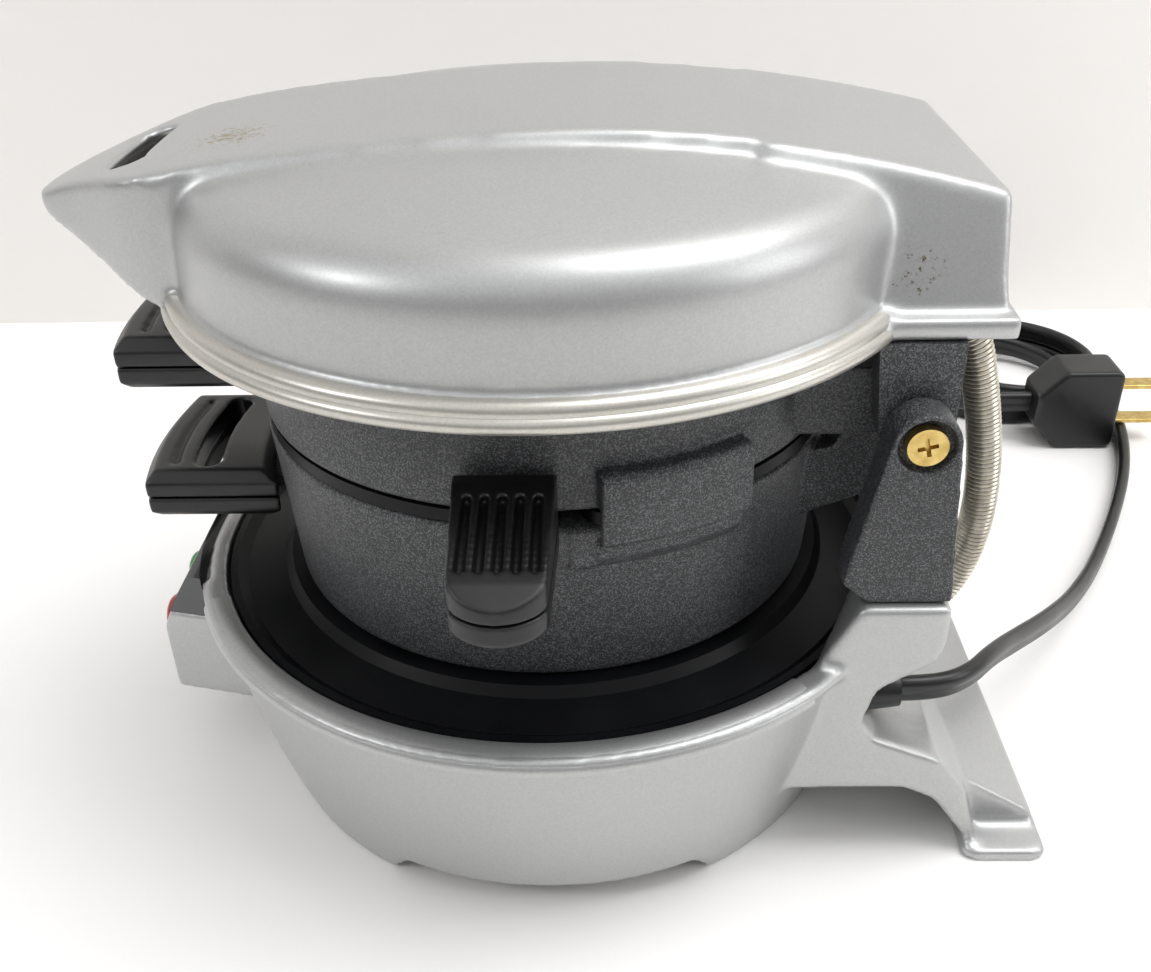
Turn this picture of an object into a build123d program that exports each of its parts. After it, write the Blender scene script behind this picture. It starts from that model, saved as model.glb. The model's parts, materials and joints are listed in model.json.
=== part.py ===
"""Breakfast sandwich maker: a hinged stack of base, two rings, swing plate and cover.

Millimetres.  The origin is on the table, on the axis of the round cooking parts.
+X is the user's right, -Y the front with the handles, +Y the hinge, +Z up.
"""

from build123d import *
from math import atan2, cos, degrees, hypot, pi, radians, sin, sqrt, tan
import os

os.makedirs("parts", exist_ok=True)

# ---------------------------------------------------------------- driving dimensions
fit_gap = 0.15  # sliding fit between pieces of one body
body_gap = 0.3  # running gap between pieces that move against each other

# base housing
bowl_foot_radius = 67.5
bowl_waist_radius = 73.4
bowl_waist_height = 22.0
bowl_top_radius = 77.8
bowl_wall = 2.4
rim_radius = 80.3
rim_height = 51.4
rim_thickness = 3.0
foot_notch_height = 6.5
foot_notch_angle = 54.0
skirt_height = 18.0  # underside of the control block and of the rear side walls
block_reach = 91.0
block_front_half_width = 20.0
block_root_half_width = 27.0
block_cap_height = 41.0
deck_height = 65.0
deck_half_width = 54.0
deck_back = 78.0
side_wall = 3.0
ramp_half_width = 48.0
tab_thickness = 2.6
tab_outer = 57.0
tab_width = 13.0
tab_front = 88.0
tab_back = 106.0
cover_plate_height = 3.0
cover_plate_thickness = 2.0
pan_floor_radius = 46.0
boss_circle = 58.5

# heating plates and elements
plate_rim_radius = 73.8
plate_rim_drop = 0.8  # plate rim below the housing rim
plate_skin = 2.4
plateau_height = 52.2
plateau_radius = 61.0
element_radius = 38.0
element_tube_radius = 3.2
element_gap = 0.3

# rings
ring_bore_radius = 51.5
ring_foot_radius = 57.5
ring_radius = 60.0
ring_crown_radius = 59.0
bottom_ring_height = 35.4
top_ring_height = 28.0

# cooking plate and its swing
cooking_plate_thickness = 2.6
cooking_plate_radius = 59.7
swing_angle = 12.5  # direction of the swing pin, from the right side towards the hinge
swing_radius = 56.5
swing_pin_radius = 2.0
swing_head_radius = 3.3
swing_lug_radius = 4.0

# swing pad, moulded on the top ring over the seam
pad_radius = 63.5
pad_skin = 1.6
pad_start = 10.6
pad_sweep = 27.4
pad_below_seam = 3.0
pad_height = 14.6

# hinge
hinge_y = 69.0
hinge_z = 99.0
post_outer = 52.0
post_width = 8.0
post_crown_radius = 6.3
hinge_pin_radius = 2.9
hinge_head_radius = 4.6
hinge_head_depth = 2.4
arm_width = 6.4
arm_gap = 0.7
arm_eye_radius = 7.0

# cover
cover_edge_height = 115.2
cover_wall = 2.2
dome_foot_radius = 72.4
dome_top_radius = 71.0
dome_apex = 148.0
dome_curvature = 300.0
dome_edge_radius = 10.0
bead_radius = 75.9
bead_height = 4.8
spine_half_width = 28.0
spine_apex = 149.2
nose_reach = 100.0
nose_height = 130.0
box_back = 83.5
box_foot_half_width = 41.0
box_top_half_width = 33.0
flange_half_width = 43.0
flange_overhang = 1.5
flange_height = 4.0

# handles
grip_half_width = 20.0
grip_reach = 88.0
grip_thickness = 11.0
grip_seam_share = 5.2  # height of the lower half
bottom_grip_base = 65.0
top_grip_base = 95.8
grip_slot_radius = 74.5
grip_slot_width = 5.6
grip_slot_sweep = 20.0
grip_groove_radius = 81.5
plate_grip_start = 60.7
plate_grip_reach = 90.0
plate_grip_centre = -4.9
plate_grip_half_width = 9.0
plate_grip_base = 84.4
plate_grip_top = 100.0
plate_grip_tip = 94.6

# conduit and cord
conduit_x = 12.0
conduit_radius = 3.7
conduit_bore = 2.6
conduit_end_y = 70.0
conduit_end_height = 34.8
cord_diameter = 6.0
cord_length_wanted = 762.0
cord_exit_x = 43.0
cord_exit_height = 36.4
strain_radius = 4.6
strain_collar_y = 52.0
strain_exit = 72.9

# ---------------------------------------------------------------- heights that follow
bottom_ring_base = plateau_height + body_gap
bottom_ring_top = bottom_ring_base + bottom_ring_height
cooking_plate_base = bottom_ring_top + body_gap
cooking_plate_top = cooking_plate_base + cooking_plate_thickness
top_ring_base = cooking_plate_top + body_gap
top_ring_top = top_ring_base + top_ring_height
top_heater_base = top_ring_top + body_gap
pad_base = cooking_plate_base - pad_below_seam
swing_x = swing_radius * cos(radians(swing_angle))
swing_y = swing_radius * sin(radians(swing_angle))
post_inner = post_outer - post_width
cover_arm_outer = post_inner - arm_gap
cover_arm_inner = cover_arm_outer - arm_width
top_arm_outer = cover_arm_inner - arm_gap
top_arm_inner = top_arm_outer - arm_width
bottom_arm_outer = top_arm_inner - arm_gap
bottom_arm_inner = bottom_arm_outer - arm_width
hinge_bore_radius = hinge_pin_radius + fit_gap


def save(name, piece):
    """Label a finished piece and write it under its own name."""
    piece.part.label = name
    export_step(piece.part, f"parts/{name}.step")


def polar_plane(angle):
    """The upright plane through the cooking axis whose X points at this angle."""
    a = radians(angle)
    return Plane(origin=(0, 0, 0), x_dir=(cos(a), sin(a), 0), z_dir=(sin(a), -cos(a), 0))


# ---------------------------------------------------------------- base housing
def block_form(inset):
    """The control block at the front, drawn in by inset."""
    front = block_reach - inset
    with BuildPart() as form:
        with BuildSketch(Plane.YZ):
            with BuildLine():
                Polyline(
                    (-bowl_foot_radius + 8, skirt_height + inset),
                    (-front, skirt_height + inset),
                    (-front + 1.2, skirt_height + 16),
                    (-front + 5.5, block_cap_height + 2),
                    (-rim_radius + inset, rim_height - inset),
                    (-bowl_foot_radius + 8, rim_height - inset),
                    close=True,
                )
            make_face()
        extrude(amount=block_root_half_width, both=True)
        with BuildSketch(Plane.XY.offset(skirt_height)):
            with BuildLine():
                Polyline(
                    (-block_root_half_width + inset, -bowl_foot_radius + 8),
                    (-block_front_half_width + inset, -block_reach),
                    (block_front_half_width - inset, -block_reach),
                    (block_root_half_width - inset, -bowl_foot_radius + 8),
                    close=True,
                )
            make_face()
            Circle(front, mode=Mode.INTERSECT)
        extrude(amount=rim_height, mode=Mode.INTERSECT)
    return form.part


def ramp_profile(skin):
    """The slope between the rear legs, from the bowl down to the table, lowered by skin."""
    return (
        (60.0, 34.5 - skin),
        (80.0, 26.0 - skin),
        (88.0, 15.5 - skin),
        (tab_back - 1 - skin, 4.8 - skin),
    )


with BuildPart() as base_housing:
    # rear side walls, with the window under each deck, joined by the ramp
    with BuildSketch(Plane.YZ):
        with BuildLine():
            Polyline(
                (40, skirt_height),
                (74, skirt_height),
                (80.5, 14.8),
                (87.5, 5.0),
                (91.0, 0.6),
                (91.0, 4.0),
                (87.6, 16.0),
                (80.5, 26.0),
                (66.5, 31.8),
                (63.6, 36.0),
                (65.8, 44.6),
                (76.4, 51.6),
                (deck_back, 56.0),
                (deck_back, deck_height),
                (60.8, deck_height),
                (53.0, rim_height),
                (40, rim_height),
                close=True,
            )
        make_face()
    extrude(amount=deck_half_width, both=True)
    with BuildSketch(Plane.YZ):
        with BuildLine():
            top = ramp_profile(0)
            Polyline(top[1], top[2], top[3], (top[3][0], 0), (top[1][0], 0), close=True)
        make_face()
    extrude(amount=ramp_half_width, both=True)
    # the hollow under the ramp
    with BuildSketch(Plane.YZ):
        with BuildLine():
            low = ramp_profile(bowl_wall)
            Polyline((40, -1), (40, low[0][1]), low[0], low[1], low[2], (low[2][0], -1), close=True)
        make_face()
    extrude(amount=deck_half_width - side_wall, both=True, mode=Mode.SUBTRACT)
    with BuildSketch(Plane.YZ):
        with BuildLine():
            Polyline(low[2], low[3], (low[3][0], -1), (low[2][0], -1), close=True)
        make_face()
    extrude(amount=ramp_half_width - bowl_wall, both=True, mode=Mode.SUBTRACT)
    # foot tabs at the rear corners
    with BuildSketch():
        for side in (-1, 1):
            with Locations((side * (tab_outer - tab_width / 2), (tab_front + tab_back) / 2)):
                RectangleRounded(tab_width, tab_back - tab_front, 3)
    extrude(amount=tab_thickness)
    # bowl, filled for now
    with BuildSketch(Plane.XZ):
        with BuildLine():
            Line((0, 0), (bowl_foot_radius, 0))
            ThreePointArc(
                (bowl_foot_radius, 0),
                (bowl_waist_radius, bowl_waist_height),
                (bowl_top_radius, rim_height - rim_thickness),
            )
            Polyline(
                (bowl_top_radius, rim_height - rim_thickness),
                (rim_radius, rim_height - rim_thickness),
                (rim_radius, rim_height),
                (0, rim_height),
                (0, 0),
            )
        make_face()
    revolve(axis=Axis.Z)
    add(block_form(0))
    # inside of the bowl, with the ledge that carries the heating plate
    with BuildSketch(Plane.XZ):
        with BuildLine():
            ledge_height = rim_height - plate_rim_drop - 3.6
            ledge_radius = plate_rim_radius - 2.3
            Line((0, -1), (bowl_foot_radius - bowl_wall, -1))
            Line((bowl_foot_radius - bowl_wall, -1), (bowl_foot_radius - bowl_wall, 0))
            ThreePointArc(
                (bowl_foot_radius - bowl_wall, 0),
                (bowl_waist_radius - bowl_wall, bowl_waist_height),
                (bowl_top_radius - bowl_wall, ledge_height - 6),
            )
            Polyline(
                (bowl_top_radius - bowl_wall, ledge_height - 6),
                (ledge_radius, ledge_height - 2),
                (ledge_radius, ledge_height),
                (plate_rim_radius + 0.8, ledge_height),
                (plate_rim_radius + 0.8, deck_height + 1),
                (0, deck_height + 1),
                (0, -1),
            )
        make_face()
    revolve(axis=Axis.Z, mode=Mode.SUBTRACT)
    # inside of the control block and the seat of its cap
    with BuildPart(mode=Mode.PRIVATE) as block_hollow:
        add(block_form(bowl_wall))
        with BuildSketch(Plane.XY.offset(ledge_height - 2)):
            Circle(plate_rim_radius + 3)
        extrude(amount=rim_height, mode=Mode.SUBTRACT)
    add(block_hollow.part, mode=Mode.SUBTRACT)
    with BuildPart(mode=Mode.PRIVATE) as cap_room:
        add(block_form(-fit_gap))
        with BuildSketch(Plane.XY):
            Circle(bowl_top_radius + 1)
        extrude(amount=deck_height, mode=Mode.SUBTRACT)
        with BuildSketch(Plane.XY):
            Circle(block_reach + 5)
        extrude(amount=block_cap_height - fit_gap, mode=Mode.SUBTRACT)
    add(cap_room.part, mode=Mode.SUBTRACT)
    # notches that leave the bowl on broad feet
    with BuildSketch(Plane.YZ):
        notch_width = 2 * bowl_foot_radius * sin(radians(foot_notch_angle / 2))
        Trapezoid(notch_width + 2 * foot_notch_height, foot_notch_height * 2, 60)
    extrude(amount=rim_radius, both=True, mode=Mode.SUBTRACT)
    # passages of the cord's strain relief and of the conduit
    with BuildSketch(Plane.XZ.offset(-strain_collar_y - 1)):
        with Locations((cord_exit_x, cord_exit_height)):
            Circle(strain_radius + fit_gap)
    extrude(amount=-16, mode=Mode.SUBTRACT)
    with BuildSketch(Plane.XZ.offset(-conduit_end_y)):
        with Locations((conduit_x, conduit_end_height)):
            Circle(conduit_radius + fit_gap)
    extrude(amount=-6, mode=Mode.SUBTRACT)
    # seats of the two lights
    light_x = 9.0
    light_height = 31.0
    light_radius = 5.2
    with BuildSketch(Plane.XZ.offset(block_reach - 8)):
        with Locations((light_x, light_height), (-light_x, light_height)):
            Circle(light_radius + fit_gap)
    extrude(amount=10, mode=Mode.SUBTRACT)
    # screw bosses of the bottom cover, on ribs from the bowl wall
    with BuildSketch(Plane.XY.offset(cover_plate_height + cover_plate_thickness + fit_gap)):
        with PolarLocations(boss_circle, 3, start_angle=30):
            Circle(3.6)
            with Locations((4.5, 0)):
                Rectangle(9, 3)
    extrude(amount=14)
    with BuildSketch(Plane.XY.offset(cover_plate_height)):
        with PolarLocations(boss_circle, 3, start_angle=30):
            Circle(1.5)
    extrude(amount=14, mode=Mode.SUBTRACT)
save("base_housing", base_housing)

# a pressed pan: its outer ring is screwed to the bosses, its middle stands on the table
with BuildPart() as bottom_cover:
    with BuildSketch(Plane.XZ):
        pan_outer = bowl_foot_radius - bowl_wall - body_gap
        with BuildLine():
            Polyline(
                (0, 0),
                (pan_floor_radius, 0),
                (pan_floor_radius + cover_plate_height, cover_plate_height),
                (pan_outer, cover_plate_height),
                (pan_outer, cover_plate_height + cover_plate_thickness),
                (pan_floor_radius + cover_plate_height - 0.5, cover_plate_height + cover_plate_thickness),
                (pan_floor_radius - 0.5, cover_plate_thickness),
                (0, cover_plate_thickness),
                close=True,
            )
        make_face()
    revolve(axis=Axis.Z)
    with BuildSketch(Plane.XY.offset(cover_plate_height)):
        with PolarLocations(boss_circle, 3, start_angle=30):
            Circle(1.7)
    extrude(amount=cover_plate_thickness, mode=Mode.SUBTRACT)
    with BuildSketch():
        with GridLocations(12, 0, 4, 1):
            SlotOverall(34, 4, rotation=90)
    extrude(amount=cover_plate_thickness, mode=Mode.SUBTRACT)
save("bottom_cover", bottom_cover)

with BuildPart() as bottom_cover_screws:
    with BuildSketch(Plane.XY.offset(cover_plate_height - 1.6)):
        with PolarLocations(boss_circle, 3, start_angle=30):
            Circle(2.8)
    extrude(amount=1.5)
    with BuildSketch(Plane.XY.offset(cover_plate_height - 0.2)):
        with PolarLocations(boss_circle, 3, start_angle=30):
            Circle(1.35)
    extrude(amount=10)
save("bottom_cover_screws", bottom_cover_screws)

with BuildPart() as bottom_heating_plate:
    with BuildSketch(Plane.XZ):
        rim_top = rim_height - plate_rim_drop
        with BuildLine():
            Polyline(
                (0, plateau_height),
                (plateau_radius - 1, plateau_height),
                (plateau_radius + 0.6, plateau_height - 2),
                (plate_rim_radius - 3.6, plateau_height - 3.2),
                (plate_rim_radius - 1.6, rim_top),
                (plate_rim_radius, rim_top),
                (plate_rim_radius, ledge_height + fit_gap),
                (ledge_radius + 0.4, ledge_height + fit_gap),
                (plate_rim_radius - 4.2, plateau_height - 3.2 - plate_skin),
                (plateau_radius - 1, plateau_height - 2 - plate_skin),
                (plateau_radius - 3, plateau_height - plate_skin),
                (0, plateau_height - plate_skin),
                close=True,
            )
        make_face()
    revolve(axis=Axis.Z)
save("bottom_heating_plate", bottom_heating_plate)


def heating_element(height, terminal_end):
    """A tubular element: most of a ring, with its two terminals turned away from the plate."""
    with BuildPart() as element:
        with BuildLine() as ring_line:
            CenterArc((0, 0, height), element_radius, 105, 330)
        with BuildSketch(Plane(origin=ring_line.line @ 0, z_dir=ring_line.line % 0)):
            Circle(element_tube_radius)
        sweep(path=ring_line.line)
        for end in (ring_line.line @ 0, ring_line.line @ 1):
            low, high = min(height, terminal_end), max(height, terminal_end)
            with BuildSketch(Plane.XY.offset(low)):
                with Locations((end.X, end.Y)):
                    Circle(element_tube_radius - 0.6)
            extrude(amount=high - low)
    return element


bottom_element_height = plateau_height - plate_skin - element_gap - element_tube_radius
bottom_heating_element = heating_element(bottom_element_height, bottom_element_height - 14)
save("bottom_heating_element", bottom_heating_element)

with BuildPart() as base_thermostat:
    with BuildSketch(Plane.XY.offset(plateau_height - plate_skin - 9)):
        Circle(8.5)
    extrude(amount=9 - fit_gap)
    with BuildSketch(Plane.XY.offset(plateau_height - plate_skin - 3)):
        SlotOverall(30, 7)
    extrude(amount=1.2)
    with BuildSketch(Plane.XY.offset(plateau_height - plate_skin - 15)):
        with Locations((-4.5, 0), (4.5, 0)):
            Rectangle(1, 6)
    extrude(amount=6.5)
save("base_thermostat", base_thermostat)

with BuildPart() as thermal_fuse:
    with BuildSketch(Plane.YZ.offset(-8)):
        with Locations((22, plateau_height - plate_skin - 2.4)):
            Circle(2.2)
    extrude(amount=16)
    with BuildSketch(Plane.YZ.offset(-16)):
        with Locations((22, plateau_height - plate_skin - 2.4)):
            Circle(0.6)
    extrude(amount=32)
save("thermal_fuse", thermal_fuse)

with BuildPart() as control_cap:
    add(block_form(0))
    with BuildSketch(Plane.XY):
        Circle(bowl_top_radius + 1 + fit_gap)
    extrude(amount=deck_height, mode=Mode.SUBTRACT)
    with BuildSketch(Plane.XY):
        Circle(block_reach + 5)
    extrude(amount=block_cap_height, mode=Mode.SUBTRACT)
    # the underside of the rim lip rests on the cap
    with BuildSketch(Plane.XY.offset(rim_height - rim_thickness - fit_gap)):
        Circle(rim_radius + fit_gap)
    extrude(amount=rim_thickness + 1, mode=Mode.SUBTRACT)
save("control_cap", control_cap)


def light_lens(x):
    """A domed lens that stands through the front wall of the control block."""
    with BuildPart() as lens:
        with BuildSketch(Plane(origin=(x, -block_reach + 7.4, light_height), x_dir=(1, 0, 0), z_dir=(0, -1, 0))):
            Circle(light_radius)
        extrude(amount=8.0)
        fillet(lens.faces().sort_by(Axis.Y)[0].edges(), 2.4)
        with BuildSketch(Plane(origin=(x, -block_reach + 7.4, light_height), x_dir=(1, 0, 0), z_dir=(0, -1, 0))):
            Circle(light_radius + 1.4)
        extrude(amount=1.2)
    return lens


red_light_lens = light_lens(light_x)
save("red_light_lens", red_light_lens)
green_light_lens = light_lens(-light_x)
save("green_light_lens", green_light_lens)

with BuildPart() as lamp_board:
    with BuildSketch(Plane(origin=(0, -block_reach + 14.5, light_height), x_dir=(1, 0, 0), z_dir=(0, -1, 0))):
        Rectangle(34, 14)
    extrude(amount=1.6)
    with BuildSketch(Plane(origin=(0, -block_reach + 12.8, light_height), x_dir=(1, 0, 0), z_dir=(0, -1, 0))):
        with Locations((-light_x, 0), (light_x, 0)):
            Circle(2.6)
    extrude(amount=5.2)
save("lamp_board", lamp_board)


# ---------------------------------------------------------------- hinge posts
def hinge_post(side):
    """One post on its deck: broad at the foot, round at the hinge screw."""
    with BuildPart() as post:
        with BuildSketch(Plane.YZ.offset(side * post_inner)):
            with BuildLine():
                foot_front = hinge_y - 12.4
                foot_back = hinge_y + 8.8
                Polyline(
                    (hinge_y + post_crown_radius, hinge_z),
                    (foot_back, deck_height + 2),
                    (foot_back, deck_height + fit_gap),
                    (foot_front + 5.4, deck_height + fit_gap),
                    (foot_front, deck_height + 4.6),
                    (hinge_y - post_crown_radius + 0.2, hinge_z + 1.5),
                    (hinge_y - post_crown_radius + 0.2, hinge_z),
                    close=True,
                )
            make_face()
            with Locations((hinge_y, hinge_z)):
                Circle(post_crown_radius)
        extrude(amount=side * post_width)
        with BuildSketch(Plane.YZ.offset(side * post_inner)):
            with Locations((hinge_y, hinge_z)):
                Circle(hinge_bore_radius)
        extrude(amount=side * post_width, mode=Mode.SUBTRACT)
        with BuildSketch(Plane.YZ.offset(side * (post_outer - hinge_head_depth))):
            with Locations((hinge_y, hinge_z)):
                Circle(hinge_head_radius + 0.6)
        extrude(amount=side * hinge_head_depth, mode=Mode.SUBTRACT)
    return post


hinge_post_right = hinge_post(1)
save("hinge_post_right", hinge_post_right)
hinge_post_left = hinge_post(-1)
save("hinge_post_left", hinge_post_left)

with BuildPart() as hinge_screws:
    for side in (-1, 1):
        with BuildSketch(Plane.YZ.offset(side * (bottom_arm_inner - 1))):
            with Locations((hinge_y, hinge_z)):
                Circle(hinge_pin_radius)
        extrude(amount=side * (post_outer - bottom_arm_inner))
        with BuildSketch(Plane.YZ.offset(side * (post_outer - hinge_head_depth + fit_gap))):
            with Locations((hinge_y, hinge_z)):
                Circle(hinge_head_radius)
        extrude(amount=side * (hinge_head_depth - 2 * fit_gap))
save("hinge_screws", hinge_screws)


# ---------------------------------------------------------------- ring with arms and lug
def ring_body(base, height, low_radius, high_radius):
    """The wall of a ring, turned round the cooking axis."""
    with BuildPart() as wall:
        with BuildSketch(Plane.XZ):
            with BuildLine():
                Polyline(
                    (ring_bore_radius, base),
                    (low_radius - 0.8, base),
                    (low_radius, base + 0.8),
                    (high_radius, base + height - 0.6),
                    (high_radius - 0.6, base + height),
                    (ring_bore_radius, base + height),
                    close=True,
                )
            make_face()
        revolve(axis=Axis.Z)
    return wall.part


def hinge_arm(inner, outline, side):
    """An arm from a ring wall to its eye on the hinge screw."""
    with BuildPart() as arm:
        with BuildSketch(Plane.YZ.offset(side * inner)):
            with BuildLine():
                Polyline(*outline, close=True)
            make_face()
            with Locations((hinge_y, hinge_z)):
                Circle(arm_eye_radius)
        extrude(amount=side * arm_width)
    return arm.part


def hinge_eyes():
    """The two bores that the hinge screws pass through in every hinged piece."""
    with BuildPart() as eyes:
        with BuildSketch(Plane.YZ.offset(-post_inner)):
            with Locations((hinge_y, hinge_z)):
                Circle(hinge_pin_radius + body_gap)
        extrude(amount=2 * post_inner)
    return eyes.part


def grip_lug(seam):
    """The flat lug that the two halves of a front handle close round."""
    with BuildPart() as lug:
        with BuildSketch(Plane.XY.offset(seam - 1.5)):
            with Locations((0, -(ring_bore_radius + 2 + 68) / 2)):
                Rectangle(26, 68 - ring_bore_radius - 2)
            Circle(ring_bore_radius + 1, mode=Mode.SUBTRACT)
            with Locations((-9, -64.5), (9, -64.5)):
                Circle(1.5, mode=Mode.SUBTRACT)
        extrude(amount=3)
    return lug.part


bottom_grip_seam = bottom_grip_base + grip_seam_share
top_grip_seam = top_grip_base + grip_seam_share

with BuildPart() as bottom_ring:
    add(ring_body(bottom_ring_base, bottom_ring_height, ring_foot_radius, ring_radius))
    for side in (-1, 1):
        add(
            hinge_arm(
                bottom_arm_inner,
                (
                    (50, bottom_ring_top - 18),
                    (50, bottom_ring_top - 3),
                    (57.4, bottom_ring_top - 1),
                    (hinge_y - 5.2, hinge_z + 4.6),
                    (hinge_y + 5.8, hinge_z - 3.8),
                    (hinge_y - 4, bottom_ring_top - 12),
                ),
                side,
            )
        )
    add(hinge_eyes(), mode=Mode.SUBTRACT)
    add(grip_lug(bottom_grip_seam))
    # ledge under the swing pad and the small stop in front of it
    with BuildSketch(polar_plane(pad_start)):
        with BuildLine():
            Polyline(
                (ring_radius - 4, pad_base - 5.4),
                (ring_radius + 0.2, pad_base - 5.4),
                (ring_radius + 1.5, pad_base - 3.4),
                (ring_radius + 1.5, pad_base - 0.5),
                (ring_radius - 4, pad_base - 0.5),
                close=True,
            )
        make_face()
    revolve(axis=Axis.Z, revolution_arc=pad_sweep)
    with BuildSketch(polar_plane(pad_start - 5)):
        with Locations((ring_radius - 1.7, bottom_ring_top - 4.6)):
            Rectangle(4.4, 8)
    revolve(axis=Axis.Z, revolution_arc=4.4)
save("bottom_ring", bottom_ring)

with BuildPart() as top_ring:
    add(ring_body(top_ring_base, top_ring_height, ring_radius, ring_crown_radius))
    for side in (-1, 1):
        add(
            hinge_arm(
                top_arm_inner,
                (
                    (43.4, top_ring_base + 2),
                    (43.4, top_ring_base + 16),
                    (hinge_y - 6, top_ring_base + 16),
                    (hinge_y, hinge_z + arm_eye_radius),
                    (hinge_y, hinge_z - arm_eye_radius),
                    (hinge_y - 6, top_ring_base + 2),
                ),
                side,
            )
        )
    add(hinge_eyes(), mode=Mode.SUBTRACT)
    add(grip_lug(top_grip_seam))
    # pad over the seam: full above the plate, a skirt outside it below
    with BuildSketch(polar_plane(pad_start)):
        with BuildLine():
            Polyline(
                (ring_radius - 4, top_ring_base + 0.4),
                (pad_radius - pad_skin, top_ring_base + 0.4),
                (pad_radius - pad_skin, pad_base),
                (pad_radius - 0.5, pad_base),
                (pad_radius, pad_base + 0.5),
                (pad_radius, pad_base + pad_height - 1.2),
                (pad_radius - 1.2, pad_base + pad_height),
                (ring_radius - 4, pad_base + pad_height),
                close=True,
            )
        make_face()
    revolve(axis=Axis.Z, revolution_arc=pad_sweep)
    # blind bore of the swing pin
    with BuildSketch(Plane.XY.offset(top_ring_base)):
        with Locations((swing_x, swing_y)):
            Circle(swing_pin_radius + fit_gap)
    extrude(amount=9, mode=Mode.SUBTRACT)
save("top_ring", top_ring)

with BuildPart() as swing_pin:
    with BuildSketch(Plane.XY.offset(cooking_plate_base + 0.2)):
        with Locations((swing_x, swing_y)):
            Circle(swing_head_radius)
    extrude(amount=0.9)
    with BuildSketch(Plane.XY.offset(cooking_plate_base + 0.3)):
        with Locations((swing_x, swing_y)):
            Circle(swing_pin_radius)
    extrude(amount=top_ring_base + 8.6 - cooking_plate_base)
save("swing_pin", swing_pin)


# ---------------------------------------------------------------- front handles
def grip_half(base, upper):
    """Half of a front handle, split at its seam; the upper half has the groove."""
    seam = base + grip_seam_share
    low, high = (seam + fit_gap, base + grip_thickness) if upper else (base, seam - fit_gap)
    with BuildPart() as half:
        with BuildSketch(Plane.XY.offset(low)):
            with Locations((0, -(ring_radius + grip_reach) / 2)):
                Rectangle(2 * grip_half_width, grip_reach - ring_radius + 12)
            Circle(grip_reach, mode=Mode.INTERSECT)
            Circle(ring_radius + 2 * body_gap, mode=Mode.SUBTRACT)
        extrude(amount=high - low)
        level = high if upper else low
        rim = half.faces().filter_by(Axis.Z).sort_by(Axis.Z)[-1 if upper else 0]
        chamfer(rim.edges(), 2.4 if upper else 1.8)
        with BuildSketch(Plane.XY.offset(low)):
            with BuildLine():
                slot_line = CenterArc(
                    (0, 0), grip_slot_radius, -90 - grip_slot_sweep / 2, grip_slot_sweep
                )
            SlotArc(slot_line, grip_slot_width)
        extrude(amount=high - low, mode=Mode.SUBTRACT)
        # pocket that holds the lug
        with BuildSketch(Plane.XY.offset(seam - 1.5 - fit_gap)):
            with Locations((0, -(56 + 68 + fit_gap) / 2)):
                Rectangle(26 + 2 * fit_gap, 12 + fit_gap)
        extrude(amount=3 + 2 * fit_gap, mode=Mode.SUBTRACT)
        with BuildSketch(Plane.XY.offset(base)):
            with Locations((-9, -64.5), (9, -64.5)):
                Circle(1.35)
        extrude(amount=grip_thickness - 2.6, mode=Mode.SUBTRACT)
        if upper:
            with BuildSketch(Plane.XY.offset(high - 0.9)):
                with BuildLine():
                    groove_line = CenterArc((0, 0), grip_groove_radius, -90 - 10, 20)
                SlotArc(groove_line, 1.6)
            extrude(amount=2, mode=Mode.SUBTRACT)
        else:
            with BuildSketch(Plane.XY.offset(base)):
                with Locations((-9, -64.5), (9, -64.5)):
                    Circle(2.8)
            extrude(amount=1.5, mode=Mode.SUBTRACT)
    return half


def grip_screws(base):
    """The two screws that draw the halves of a front handle onto the lug."""
    with BuildPart() as screws:
        for x in (-9, 9):
            with BuildSketch(Plane.XY.offset(base + fit_gap)):
                with Locations((x, -64.5)):
                    Circle(2.6)
            extrude(amount=1.3)
            with BuildSketch(Plane.XY.offset(base + 1)):
                with Locations((x, -64.5)):
                    Circle(1.2)
            extrude(amount=grip_thickness - 4)
    return screws


bottom_grip_upper = grip_half(bottom_grip_base, True)
save("bottom_grip_upper", bottom_grip_upper)
bottom_grip_lower = grip_half(bottom_grip_base, False)
save("bottom_grip_lower", bottom_grip_lower)
bottom_grip_screws = grip_screws(bottom_grip_base)
save("bottom_grip_screws", bottom_grip_screws)
top_grip_upper = grip_half(top_grip_base, True)
save("top_grip_upper", top_grip_upper)
top_grip_lower = grip_half(top_grip_base, False)
save("top_grip_lower", top_grip_lower)
top_grip_screws = grip_screws(top_grip_base)
save("top_grip_screws", top_grip_screws)

# ---------------------------------------------------------------- cooking plate
tang_end = plate_grip_reach - 9
tang_half_width = 5.5
plate_grip_seam = (cooking_plate_base + cooking_plate_top) / 2
# the skirt's front corner, seen from the swing pin, sets the bite in the plate's edge
skirt_x = (pad_radius - pad_skin) * cos(radians(pad_start))
skirt_y = (pad_radius - pad_skin) * sin(radians(pad_start))
corner_x = pad_radius * cos(radians(pad_start))
corner_y = pad_radius * sin(radians(pad_start))
bite_radius = hypot(corner_x - swing_x, corner_y - swing_y) + 2 * body_gap

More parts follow.
